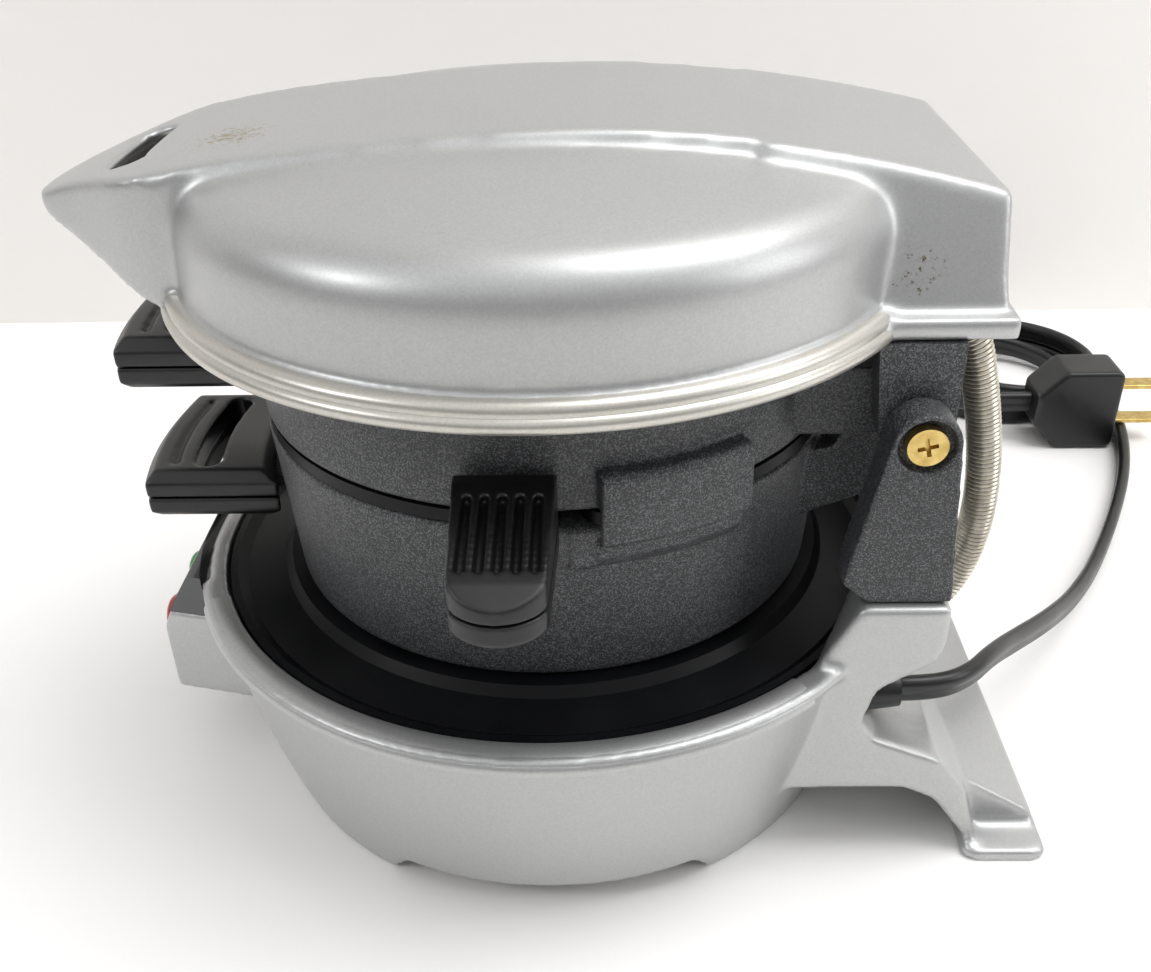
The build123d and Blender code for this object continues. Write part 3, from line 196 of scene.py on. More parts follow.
def emboss(tree: Tree, shader: Node, height: Socket, depth_mm: float, strength: float) -> None:
    """Raise the shader's surface by a height.

    Args:
        tree: the shader's tree.
        shader: the principled shader.
        height: the height, from 0 to 1.
        depth_mm: how high a height of 1 is.
        strength: how strongly it shows.
    """
    inputs = {"Strength": strength, "Distance": depth_mm * MM, "Height": height}
    bump = add_node(tree, "ShaderNodeBump", inputs=inputs)
    tree.links.new(bump.outputs["Normal"], shader.inputs["Normal"])


def grey(value: float) -> Colour:
    """A neutral linear colour."""
    return (value, value, value, 1.0)


def mixed(tree: Tree, share: Socket, below: Socket, above: Colour) -> Socket:
    """Lay a colour over another by a share."""
    sockets = {0: share, 6: below, 7: above}  # the mix node names its sockets alike for each type
    return add_node(tree, "ShaderNodeMix", {"data_type": "RGBA"}, sockets).outputs[2]


def new_material(name: str) -> tuple[Material, Tree, Node]:
    """Start a node material.

    Args:
        name: its name.

    Returns:
        The material, its tree and its principled shader, already at the output.
    """
    material = bpy.data.materials.new(name)
    material.use_nodes = True
    tree = material.node_tree
    tree.nodes.clear()
    shader = add_node(tree, "ShaderNodeBsdfPrincipled")
    add_node(tree, "ShaderNodeOutputMaterial", inputs={"Surface": shader.outputs["BSDF"]})
    return material, tree, shader


def mesh_object(name: str, bm: Surface) -> Piece:
    """Turn a surface into a linked object at the origin, and free it.

    Args:
        name: the object's name.
        bm: the surface.

    Returns:
        The object.
    """
    mesh = bpy.data.meshes.new(name)
    bm.to_mesh(mesh)
    bm.free()
    piece = bpy.data.objects.new(name, mesh)
    bpy.context.scene.collection.objects.link(piece)
    return piece


def evaluated_mesh(piece: Piece) -> bpy.types.Mesh:
    """Run the modifiers of a piece.

    Args:
        piece: the piece, which keeps its own mesh.

    Returns:
        The mesh that it then shows.
    """
    bpy.context.view_layer.update()
    evaluated = piece.evaluated_get(bpy.context.evaluated_depsgraph_get())
    return bpy.data.meshes.new_from_object(evaluated)


def apply_modifiers(piece: Piece) -> None:
    """Turn the live modifiers of a piece into its plain mesh.

    Args:
        piece: the piece.
    """
    mesh = evaluated_mesh(piece)
    piece.modifiers.clear()
    piece.data = mesh


def welded_copy(node: str) -> Piece:
    """Copy the surface of a node's solid as one closed mesh.

    Args:
        node: the node's name.

    Returns:
        The copy, named after the node.
    """
    bm = bmesh.new()
    bm.from_mesh(frame["nodes"][node].data)
    bmesh.ops.remove_doubles(bm, verts=bm.verts, dist=WELD_DISTANCE)
    return mesh_object(node + "_form", bm)


def join_rings(bm: Surface, rings: Sequence[Sequence[bmesh.types.BMVert]]) -> None:
    """Skin a row of closed rings and cap both its ends, with the normals outward.

    Args:
        bm: the surface that the rings are in.
        rings: their vertices, each ring in the same order.
    """
    for near, far in zip(rings, rings[1:]):
        for k, _ in enumerate(near):
            j = (k + 1) % len(near)
            bm.faces.new((near[k], near[j], far[j], far[k]))
    bm.faces.new(rings[0])
    bm.faces.new(list(reversed(rings[-1])))
    bmesh.ops.recalc_face_normals(bm, faces=bm.faces)


def smooth_by_angle(piece: Piece, degrees: float = 35.0) -> None:
    """Shade a piece smooth, but keep its sharper edges crisp.

    Args:
        piece: the piece.
        degrees: the angle from which an edge counts as sharp.
    """
    mesh = piece.data
    mesh.polygons.foreach_set("use_smooth", [True] * len(mesh.polygons))
    mesh.set_sharp_from_angle(angle=math.radians(degrees))


def smooth_line(route: Sequence[Vector], resolution: int) -> list[Vector]:
    """Read the smooth line of a NURBS spline that has the route's points as its control points.

    Args:
        route: the control points.
        resolution: how finely the line is read between them.

    Returns:
        Close points along the line.
    """
    curve = bpy.data.curves.new("route", "CURVE")
    curve.dimensions = "3D"
    spline = curve.splines.new("NURBS")
    spline.points.add(len(route) - 1)
    for point, place in zip(spline.points, route):
        point.co = (*place, 1.0)
    spline.order_u = 3
    spline.use_endpoint_u = True
    curve.resolution_u = resolution
    holder = bpy.data.objects.new("route", curve)
    bpy.context.scene.collection.objects.link(holder)
    line = bpy.data.meshes.new_from_object(holder)
    path = [v.co.copy() for v in line.vertices]
    bpy.data.objects.remove(holder)
    bpy.data.meshes.remove(line)
    bpy.data.curves.remove(curve)
    return path


def paint(piece: Piece, material: Material) -> None:
    """Give a piece this material in place of what it has."""
    piece.data.materials.clear()
    piece.data.materials.append(material)


# ---------------------------------------------------------------- finishes
@dataclass(frozen=True)
class SpeckMark:
    """A patch of baked-on splashes: where it is, how far it reaches, and its colour."""

    place_mm: Point
    reach_mm: float
    colour: str
    middle_lift: float = 0.34  # added to the noise in the middle, so that it holds more splashes
    splash_edge: tuple[float, float] = (0.7, 0.78)  # noise where a splash starts and is full

    def laid(self, tree: Tree, place: Socket, splash: Socket, base: Socket) -> Socket:
        """Lay this patch over a colour.

        Args:
            tree: the material's tree.
            place: the object coordinates.
            splash: the noise that the splashes are cut from.
            base: the colour below.

        Returns:
            The colour with the patch on it.
        """
        middle, reach = tuple(mm(*self.place_mm)), self.reach_mm * MM
        apart = {0: place, 1: middle}
        distance = add_node(tree, "ShaderNodeVectorMath", {"operation": "DISTANCE"}, apart)
        away = distance.outputs["Value"]
        near = map_range(tree, away, (reach, 0.0), (0.0, self.middle_lift))
        cover = map_range(tree, maths(tree, "ADD", near, splash), self.splash_edge)
        share = maths(tree, "MULTIPLY", cover, maths(tree, "LESS_THAN", away, reach))
        return mixed(tree, share, base, hex_colour(self.colour))


@dataclass(frozen=True)
class MetallicPaint:
    """Metallic silver lacquer on moulded plastic: a fine bright flake under a satin clear coat."""

    name: str
    colour: str = "B6B7B7"
    flake_mm: float = 0.3  # real flake is near 0.05 mm, drawn coarser so that it shows
    flake_depth: float = 0.07
    cloud_scale: float = 26.0
    cloud_depth: float = 0.015
    splash_scale: float = 900.0
    metallic: float = 0.8
    roughness: float = 0.42
    coat: float = 0.2
    coat_roughness: float = 0.18
    dimple_mm: float = 0.03
    marks: tuple[SpeckMark, ...] = ()

    def build(self) -> Material:
        """Build the lacquer.

        Returns:
            The material.
        """
        material, tree, shader = new_material(self.name)
        place = add_node(tree, "ShaderNodeTexCoord").outputs["Object"]
        flakes = grain(tree, place, self.flake_mm)
        cloud = noise(tree, place, self.cloud_scale, detail=3.0)
        bright = map_range(
            tree, flakes.outputs["Color"], target=(1 - self.flake_depth, 1 + self.flake_depth)
        )
        patch = map_range(tree, cloud, (0.3, 0.7), (1 - self.cloud_depth, 1 + self.cloud_depth))
        level = maths(tree, "MULTIPLY", bright, patch)
        scaled = {0: hex_colour(self.colour)[:3], "Scale": level}
        tint = add_node(tree, "ShaderNodeVectorMath", {"operation": "SCALE"}, scaled)
        tone = tint.outputs["Vector"]
        if self.marks:
            splash = noise(tree, place, self.splash_scale, detail=3.0, roughness=0.7)
            for mark in self.marks:
                tone = mark.laid(tree, place, splash, tone)
        tree.links.new(tone, shader.inputs["Base Color"])
        shader.inputs["Metallic"].default_value = self.metallic
        shader.inputs["Roughness"].default_value = self.roughness
        shader.inputs["Coat Weight"].default_value = self.coat
        shader.inputs["Coat Roughness"].default_value = self.coat_roughness
        emboss(tree, shader, flakes.outputs["Distance"], self.dimple_mm, strength=0.08)
        return material


@dataclass(frozen=True)
class SpeckledCoat:
    """Sprayed non-stick enamel on cast aluminium: near black, with pale grit that catches light."""

    name: str
    colour: str = "2A2B2D"
    grit_colour: str = "6E7073"
    grit_mm: float = 0.22
    grit_share: float = 0.5
    grit_height_mm: float = 0.08
    roughness: float = 0.48

    def build(self) -> Material:
        """Build the speckled enamel.

        Returns:
            The material.
        """
        material, tree, shader = new_material(self.name)
        place = add_node(tree, "ShaderNodeTexCoord").outputs["Object"]
        grit = grain(tree, place, self.grit_mm).outputs["Color"]
        single = add_node(tree, "ShaderNodeSeparateColor", inputs={"Color": grit})
        dark, pale = hex_colour(self.colour), hex_colour(self.grit_colour)
        stops = ((0.0, dark), (1 - self.grit_share, dark), (1.0, pale))
        tree.links.new(ramp(tree, single.outputs["Red"], stops), shader.inputs["Base Color"])
        shader.inputs["Roughness"].default_value = self.roughness
        emboss(tree, shader, single.outputs["Green"], self.grit_height_mm, strength=0.35)
        return material


@dataclass(frozen=True)
class Moulded:
    """Moulded plastic or rubber: one colour, with the faint orange peel of the mould."""

    name: str
    colour: str
    roughness: float = 0.42
    peel_mm: float = 0.8
    peel_depth: float = 0.03
    wipe_scale: float = 60.0
    worn_gain: float = 1.25
    worn_lift: float = 0.002
    wipe_roughness: tuple[float, float] = (-0.05, 0.06)
    coat: float = 0.0
    gloss_level: float = 0.5

    def build(self) -> Material:
        """Build the moulded finish.

        Returns:
            The material.
        """
        material, tree, shader = new_material(self.name)
        place = add_node(tree, "ShaderNodeTexCoord").outputs["Object"]
        peel = noise(tree, place, 1 / (self.peel_mm * MM))
        wipe = noise(tree, place, self.wipe_scale, detail=4.0)
        base = hex_colour(self.colour)
        worn = tuple(min(1.0, c * self.worn_gain + self.worn_lift) for c in base[:3]) + (1.0,)
        tone = ramp(tree, wipe, ((0.35, base), (0.75, worn)))
        tree.links.new(tone, shader.inputs["Base Color"])
        smoother, rougher = (self.roughness + change for change in self.wipe_roughness)
        rough = map_range(tree, wipe, (0.3, 0.7), (smoother, rougher))
        tree.links.new(rough, shader.inputs["Roughness"])
        shader.inputs["Coat Weight"].default_value = self.coat
        shader.inputs["Specular IOR Level"].default_value = self.gloss_level
        emboss(tree, shader, peel, self.peel_depth, strength=0.3)
        return material


@dataclass(frozen=True)
class BareMetal:
    """Uncoated metal: drawn, pressed or turned, with faint clouding from handling."""

    name: str
    colour: str
    shade: str
    roughness: float = 0.3
    cloud_scale: float = 420.0
    cloud_edge: tuple[float, float] = (0.38, 0.62)
    cloud_roughness: tuple[float, float] = (0.12, -0.06)

    def build(self) -> Material:
        """Build the metal.

        Returns:
            The material.
        """
        material, tree, shader = new_material(self.name)
        place = add_node(tree, "ShaderNodeTexCoord").outputs["Object"]
        cloud = noise(tree, place, self.cloud_scale, detail=4.0, roughness=0.6)
        tones = (hex_colour(self.shade), hex_colour(self.colour))
        tone = ramp(tree, cloud, tuple(zip(self.cloud_edge, tones)))
        tree.links.new(tone, shader.inputs["Base Color"])
        shader.inputs["Metallic"].default_value = 1.0
        duller, brighter = (self.roughness + change for change in self.cloud_roughness)
        rough = map_range(tree, cloud, target=(duller, brighter))
        tree.links.new(rough, shader.inputs["Roughness"])
        return material


@dataclass(frozen=True)
class TintedLens:
    """Dyed clear polycarbonate: glossy, saturated, and letting some light in."""

    name: str
    colour: str
    deep_share: float = 0.7
    roughness: float = 0.12
    transmission: float = 0.25
    ior: float = 1.58

    def build(self) -> Material:
        """Build the lens.

        Returns:
            The material.
        """
        material, tree, shader = new_material(self.name)
        place = add_node(tree, "ShaderNodeTexCoord").outputs["Object"]
        base = hex_colour(self.colour)
        deep = tuple(c * self.deep_share for c in base[:3]) + (1.0,)
        tone = ramp(tree, noise(tree, place, 300.0), ((0.3, deep), (0.7, base)))
        tree.links.new(tone, shader.inputs["Base Color"])
        shader.inputs["Roughness"].default_value = self.roughness
        shader.inputs["Transmission Weight"].default_value = self.transmission
        shader.inputs["IOR"].default_value = self.ior
        return material


COVER_MARKS = (
    SpeckMark((41.5, 67.0, 127.5), 8.0, "6B5A3E"),
    SpeckMark((10.0, -58.0, 146.5), 12.0, "9C9078"),
)

FINISHES: dict[str, MetallicPaint | SpeckledCoat | Moulded | BareMetal | TintedLens] = {
    "silver_housing": MetallicPaint("metallic_lacquer_base"),
    "cover_silver": MetallicPaint("metallic_lacquer_cover", marks=COVER_MARKS),
    "bead_silver": MetallicPaint("metallic_lacquer_worn_bead", "C6C3BC", roughness=0.36),
    "smoked_cap": Moulded("smoked_acrylic", "3A3C3E", roughness=0.16, peel_depth=0.01, coat=0.6),
    "black_plate": Moulded(
        "satin_non_stick", "07080B", peel_mm=1.4, peel_depth=0.02, gloss_level=0.18
    ),
    "ring_paint": SpeckledCoat("speckled_enamel"),
    "black_plastic": Moulded("black_phenolic", "0E0E10", roughness=0.36),
    "red_lens": TintedLens("red_polycarbonate", "D0161C"),
    "green_lens": TintedLens("green_polycarbonate", "1E9A46"),
    "board": Moulded("paper_laminate", "8A7440", roughness=0.5),
    "brass": BareMetal("turned_brass", "D9BF7C", "C2A562"),
    "steel": BareMetal("drawn_steel", "C4C2BC", "98948B", roughness=0.28),
    "element_steel": BareMetal("heated_steel", "8A837A", "5F574E", roughness=0.42),
    "cord_rubber": Moulded("cord_vinyl", "0F1012", roughness=0.36, peel_mm=0.6),
    "conduit_steel": BareMetal("galvanised_wire", "DFDACD", "C4BEB0"),
}


class Finishes:
    """Builds each finish once and hands it out by its slot."""

    def __init__(self) -> None:
        """Start with nothing built."""
        self._built: dict[str, Material] = {}

    def get(self, slot: str) -> Material:
        """Hand out a finish, built when it is first asked for.

        Args:
            slot: its slot.

        Returns:
            The material.
        """
        if slot not in self._built:
            self._built[slot] = FINISHES[slot].build()
        return self._built[slot]


# ---------------------------------------------------------------- carried-over pieces
class CadNodes:
    """The CAD nodes, each with the finish of its slot. Most stay in view as they are."""

    def dress(self, finishes: Finishes) -> None:
        """Give every node its finish.

        Args:
            finishes: where the materials come from.
        """
        for part in frame["record"]["subparts"]:
            node = frame["nodes"][part["node"]]
            paint(node, finishes.get(part["material_slot"]))
            LOG.info("node %s wears %s", part["node"], part["material_slot"])


# ---------------------------------------------------------------- moulded forms
@dataclass(frozen=True)
class CoverMould:
    """How much the cover's mould rounds each place: the dome and spine well, the rest little."""

    bead_top: float = 121.5 * MM
    fade_height: float = 4.0 * MM
    slot_back: float = -70.0 * MM
    bead_share: float = 0.22
    slot_share: float = 0.3
    crown_share: float = 1.0

    def softness(self, place: Vector) -> float:
        """How much of the full rounding a place gets.

        Args:
            place: the place.

        Returns:
            The share, from 0 to 1.
        """
        if place.z < self.bead_top:
            return self.bead_share
        rise = min(1.0, (place.z - self.bead_top) / self.fade_height)
        upper = self.slot_share if place.y < self.slot_back else self.crown_share
        return self.bead_share + rise * (upper - self.bead_share)


@dataclass(frozen=True)
class HousingMould:
    """How much the housing's mould rounds each place: the lip and rear legs well, the feet not."""

    foot_top: float = 1.5 * MM
    lip_bottom: float = 46.0 * MM
    lip_reach: tuple[float, float] = (76.5 * MM, 82.0 * MM)
    lip_back: float = 50.0 * MM
    legs_front: float = 56.0 * MM
    block_back: float = -74.0 * MM
    lip_share: float = 1.0
    legs_share: float = 0.7
    block_share: float = 0.6
    bowl_share: float = 0.35

    def softness(self, place: Vector) -> float:
        """How much of the full rounding a place gets.

        Args:
            place: the place.

        Returns:
            The share, from 0 to 1.
        """
        if place.z < self.foot_top:
            return 0.0
        inner, outer = self.lip_reach
        on_lip = inner < math.hypot(place.x, place.y) < outer and place.y < self.lip_back
        if place.z > self.lip_bottom and on_lip:
            return self.lip_share
        if place.y > self.legs_front:
            return self.legs_share
        if place.y < self.block_back:
            return self.block_share
        return self.bowl_share


def even_softness(place: Vector) -> float:
    """The full rounding all over."""
    return 1.0


@dataclass(frozen=True)
class MouldedForm:
    """A moulded part with the real one's rounded edges, worked from its solid's own surface."""

    node: str
    voxel_mm: float
    passes: int
    softness: Callable[[Vector], float] = even_softness
    light_passes: int = 3
    keep_share: float = 0.6
    smoothing: float = 0.5
    crease_degrees: float = 55.0

    def remesh(self, piece: Piece) -> None:
        """Lay an even mesh over the piece.

        Args:
            piece: the closed copy of the solid.
        """
        grid = piece.modifiers.new("grid", "REMESH")
        grid.mode = "VOXEL"
        grid.voxel_size = self.voxel_mm * MM
        apply_modifiers(piece)

    def round_edges(self, piece: Piece) -> None:
        """Even the mesh, round it where the mould is soft, and thin it out.

        Args:
            piece: the remeshed piece.
        """
        group = piece.vertex_groups.new(name="soft")
        for vertex in piece.data.vertices:
            weight = self.softness(vertex.co)
            if weight > 0:
                group.add([vertex.index], weight, "REPLACE")
        even = piece.modifiers.new("even", "SMOOTH")
        even.factor, even.iterations = self.smoothing, self.light_passes
        soft = piece.modifiers.new("soft", "SMOOTH")
        soft.factor, soft.iterations, soft.vertex_group = self.smoothing, self.passes, "soft"
        thin = piece.modifiers.new("thin", "DECIMATE")
        thin.ratio = self.keep_share
        apply_modifiers(piece)
        piece.vertex_groups.clear()

    def build(self, body: str, slot: str, finishes: Finishes) -> Piece:
        """Make the rounded part and put it in the solid's place.

        Args:
            body: the body that the part rides on.
            slot: the material slot that it takes its finish from.
            finishes: where the materials come from.

        Returns:
            The rounded piece.
        """
        piece = welded_copy(self.node)
        self.remesh(piece)
        self.round_edges(piece)
        smooth_by_angle(piece, self.crease_degrees)
        paint(piece, finishes.get(slot))
        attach(piece, body)
        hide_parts(self.node)
        LOG.info("%s: %d faces", piece.name, len(piece.data.polygons))
        return piece


@dataclass
class MouldedParts:
    """The painted and moulded parts whose edges are rounded in the real one."""

    forms: tuple[MouldedForm, ...] = (
        MouldedForm("cover_shell", 0.8, 34, CoverMould().softness, keep_share=0.5),
        MouldedForm("base_housing", 0.85, 16, HousingMould().softness, keep_share=0.5),
        MouldedForm("top_ring", 0.5, 2, light_passes=1, keep_share=0.35),
        MouldedForm("bottom_ring", 0.5, 2, light_passes=1, keep_share=0.35),
        MouldedForm("hinge_post_right", 0.5, 4),
        MouldedForm("hinge_post_left", 0.5, 4),
        MouldedForm("plate_grip_upper", 0.35, 8),
        MouldedForm("plate_grip_lower", 0.35, 6),
        MouldedForm("bottom_grip_upper", 0.45, 4),
        MouldedForm("bottom_grip_lower", 0.45, 4),
        MouldedForm("top_grip_upper", 0.45, 4),
        MouldedForm("top_grip_lower", 0.45, 4),
        MouldedForm("plug_body", 0.5, 4),
    )

    def build(self, finishes: Finishes) -> None:
        """Build each form on the body and with the slot that the record gives its node.

        Args:
            finishes: where the materials come from.
        """
        record = frame["record"]
        bodies = {
            node: body for body, nodes in record["behaviour"]["bodies"].items() for node in nodes
        }
        slots = {part["node"]: part["material_slot"] for part in record["subparts"]}
        for form in self.forms:
            form.build(bodies[form.node], slots[form.node], finishes)


@dataclass(frozen=True)
class HingeScrews:
    """The two brass pivot screws, each head with a cross recess."""

    pivot_y: float = 69.0 * MM
    pivot_z: float = 99.0 * MM
    cross_length_mm: float = 4.6
    cross_width_mm: float = 1.0
    cross_depth_mm: float = 1.5
    turn_degrees: float = 14.0
    head_share: float = 0.8

    def cutter(self, head_x: float) -> Piece:
        """Make two crossed bars that stand in a head's face.

        Args:
            head_x: where the face is.

        Returns:
            The bars.
        """
        bar = mm(2 * self.cross_depth_mm, self.cross_length_mm, self.cross_width_mm)
        bm = bmesh.new()
        for quarter in (0, 90):
            made = bmesh.ops.create_cube(bm, size=1.0)["verts"]
            bmesh.ops.scale(bm, vec=bar, verts=made)
            turn = Matrix.Rotation(math.radians(self.turn_degrees + quarter), 3, "X")
            bmesh.ops.rotate(bm, cent=(0, 0, 0), matrix=turn, verts=made)
        bmesh.ops.translate(bm, vec=(head_x, self.pivot_y, self.pivot_z), verts=bm.verts)
        return mesh_object("cross_cutter", bm)

    def narrow(self, piece: Piece) -> None:
        """Draw the screws in towards their axis.

        Args:
            piece: both screws.
        """
        for vertex in piece.data.vertices:
            vertex.co.y += (self.head_share - 1) * (vertex.co.y - self.pivot_y)
            vertex.co.z += (self.head_share - 1) * (vertex.co.z - self.pivot_z)

    def build(self, finishes: Finishes) -> None:
        """Cut the recess into both heads.

        Args:
            finishes: where the brass comes from.
        """
        piece = welded_copy("hinge_screws")
        reach = max(v.co.x for v in piece.data.vertices)
        for side in (-1, 1):
            cutter = self.cutter(side * reach)
            cut = piece.modifiers.new("cut", "BOOLEAN")
            cut.operation, cut.object, cut.use_self = "DIFFERENCE", cutter, True
            apply_modifiers(piece)
            bpy.data.objects.remove(cutter)
        self.narrow(piece)
        piece.data.polygons.foreach_set("use_smooth", [False] * len(piece.data.polygons))
        paint(piece, finishes.get("brass"))
        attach(piece, "base")
        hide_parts("hinge_screws")
        LOG.info("%s: %d faces, cut at %.2f mm", piece.name, len(piece.data.polygons), reach / MM)


# ---------------------------------------------------------------- rolled trims
@dataclass(frozen=True)
class RolledTrim:
    """A rolled edge that runs round the cooking axis, open where other forms cross it."""

    name: str
    body: str
    slot: str
    finish: str
    profile: Pairs
    start_degrees: float
    end_degrees: float
    step_degrees: float = 1.5
    crease_degrees: float = 50.0

    def build(self, finishes: Finishes) -> Piece:
        """Turn the closed profile round the axis from the start to the end.

        Args:
            finishes: where the finish comes from.

        Returns:
            The trim.
        """
        sweep = self.end_degrees - self.start_degrees
        steps = round(sweep / self.step_degrees)
        bm = bmesh.new()
        rings = []
        for k in range(steps + 1):
            angle = math.radians(self.start_degrees + sweep * k / steps)
            across, along = math.cos(angle), math.sin(angle)
            rings.append([bm.verts.new(mm(r * across, r * along, z)) for r, z in self.profile])
        join_rings(bm, rings)
        piece = mesh_object(self.name, bm)
        smooth_by_angle(piece, self.crease_degrees)
        paint(piece, finishes.get(self.finish))
        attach(piece, self.body)
        LOG.info("%s: %d faces", self.name, len(piece.data.polygons))
        return piece


# Closed sections, as distance from the cooking axis and height, in millimetres.
BEAD_PROFILE: Pairs = (
    (72.6, 115.4),
    (75.3, 115.25),
    (75.95, 115.6),
    (76.2, 116.4),
    (76.1, 117.2),
    (75.6, 117.75),
    (75.2, 118.0),
    (75.25, 118.5),
    (75.1, 119.3),
    (74.5, 120.0),
    (73.6, 120.35),
    (72.4, 120.5),
)
LIP_PROFILE: Pairs = (
    (74.35, 50.3),
    (74.5, 51.1),
    (75.0, 51.5),
    (76.6, 51.6),
    (78.4, 51.35),
    (79.6, 50.8),
    (80.35, 49.9),
    (80.6, 48.9),
    (80.45, 48.2),
    (79.6, 47.9),
    (77.0, 48.2),
)
TRIMS = (
    RolledTrim("cover_bead", "cover", "cover_silver", "bead_silver", BEAD_PROFILE, -236.0, 56.0),
    RolledTrim(
        "housing_lip", "base", "silver_housing", "silver_housing", LIP_PROFILE, -67.0, 40.0
    ),
    RolledTrim(
        "housing_lip_left", "base", "silver_housing", "silver_housing", LIP_PROFILE, 140.0, 247.0
    ),
)


# ---------------------------------------------------------------- cord
# The cord's way out of the housing and down to the table, and its end at the plug, in millimetres.
CORD_LEAD: tuple[Point, ...] = (
    (43.0, 73.05, 36.4),
    (43.0, 81.0, 36.4),
    (38.6, 89.0, 36.0),
    (29.0, 96.4, 33.6),
    (15.5, 107.0, 27.0),
    (0.0, 120.0, 20.2),
    (-20.0, 134.4, 11.4),
    (-45.0, 150.5, 4.5),
    (-73.0, 166.5, 3.7),
    (-101.0, 180.0, 3.7),
    (-130.0, 189.0, 3.7),
    (-158.85, 189.0, 3.7),
)
CORD_TAIL: tuple[Point, ...] = (
    (-158.85, 127.0, 10.7),
    (-148.0, 127.0, 10.7),
    (-136.0, 131.2, 12.0),
    (-128.8, 140.0, 13.8),
    (-128.0, 148.0, 14.2),
    (-128.0, 155.85, 14.2),
)


@dataclass
class PowerCord:
    """The flat twin cord: out at the back, along the table, a wound bundle, then the plug."""

    width: float = 7.0 * MM
    thickness: float = 3.6 * MM
    length: float = 758.0 * MM
    exit: Point = (43.0 * MM, 73.05 * MM, 36.4 * MM)
    rise: float = 3.7 * MM
    core_arc_degrees: float = 250.0
    exit_lie_degrees: float = 72.0
    table_lie_degrees: float = 90.0
    turned_by: float = 0.25  # share of the length over which the cord turns to its lie
    resolution: int = 8
    crease_degrees: float = 50.0
    coil_middle: Point = (-167.0 * MM, 158.0 * MM, 0.0)
    coil_radius: float = 31.0 * MM
    coil_pitch: float = 7.0 * MM
    layer_rise: float = 7.0 * MM
    half_turns: int = 5
    points_per_half_turn: int = 8
    profile_points: int = 8

    def coil_points(self) -> list[Vector]:
        """Control points of the wound bundle.

        Each half turn is a half circle in equal steps. A NURBS of order 3 runs inside its
        corners, so the points stand out by 1 / cos(half step).

        Returns:
            The points, from where the cord comes in to where it leaves.
        """
        points: list[Vector] = []
        middle_turn = self.half_turns // 2
        centre_y, radius, height = self.coil_middle[1], self.coil_radius, self.rise
        step = math.pi / self.points_per_half_turn
        for turn in range(self.half_turns):
            side = 1 if turn % 2 == 0 else -1
            change = self.coil_pitch / 2 if turn < middle_turn else -self.coil_pitch / 2
            climb = self.layer_rise if turn == middle_turn else 0.0
            next_radius, next_centre = radius - change, centre_y - side * change
            start_y = centre_y + side * radius
            end_y = next_centre - side * next_radius
            half_span, mean_y = abs(start_y - end_y) / 2, (start_y + end_y) / 2
            for k in range(self.points_per_half_turn):
                angle = (k + 0.5) * step
                reach = half_span / math.cos(step / 2)
                x = self.coil_middle[0] - side * reach * math.sin(angle)
                y = mean_y + side * reach * math.cos(angle)
                z = height + climb * (k + 0.5) / self.points_per_half_turn
                points.append(Vector((x, y, z)))
            radius, centre_y, height = next_radius, next_centre, height + climb
        return points

    def path(self) -> list[Vector]:
        """Follow the whole route: the way out, the bundle, then the tail.

        Returns:
            Close points along it.
        """
        lead = [mm(*point) for point in CORD_LEAD]
        tail = [mm(*point) for point in CORD_TAIL]
        return smooth_line(lead + self.coil_points() + tail, self.resolution)

    def profile(self) -> list[tuple[float, float]]:
        """Draw the twin section: two round cores side by side, with a groove between.

        Returns:
            Its outline, across and through the cord.
        """
        core = self.thickness / 2
        offset = self.width / 2 - core
        outline: list[tuple[float, float]] = []
        for side in (1, -1):
            for k in range(self.profile_points):
                turn = k / (self.profile_points - 1) - 0.5
                angle = math.radians(self.core_arc_degrees * turn)
                across = offset + core * math.cos(angle)
                outline.append((side * across, side * core * math.sin(angle)))
        return outline

    def build(self, finishes: Finishes) -> None:
        """Args:
            finishes: where the vinyl comes from.
        """
        path = self.path()
        outline = self.profile()
        total = sum((b - a).length for a, b in zip(path, path[1:]))
        turned = self.table_lie_degrees - self.exit_lie_degrees
        bm = bmesh.new()
        rings = []
        run = 0.0
        for i, place in enumerate(path):
            ahead = (path[min(i + 1, len(path) - 1)] - path[max(i - 1, 0)]).normalized()
            if i:
                run += (place - path[i - 1]).length
            share = min(1.0, run / (self.turned_by * total))
            lie = math.radians(self.exit_lie_degrees + turned * share)
            level = ahead.cross(UP).normalized()
            upright = level.cross(ahead).normalized()
            wide = level * math.cos(lie) + upright * math.sin(lie)
            thin = ahead.cross(wide).normalized()
            rings.append([bm.verts.new(place + wide * u + thin * v) for u, v in outline])
        join_rings(bm, rings)
        cord = mesh_object("flat_cord", bm)
        smooth_by_angle(cord, self.crease_degrees)
        paint(cord, finishes.get("cord_rubber"))
        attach(cord, "base")
        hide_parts("power_cord", "cord_coil", "cord_tail")
        LOG.info("flat cord: %d points, %.0f mm", len(path), total / MM)


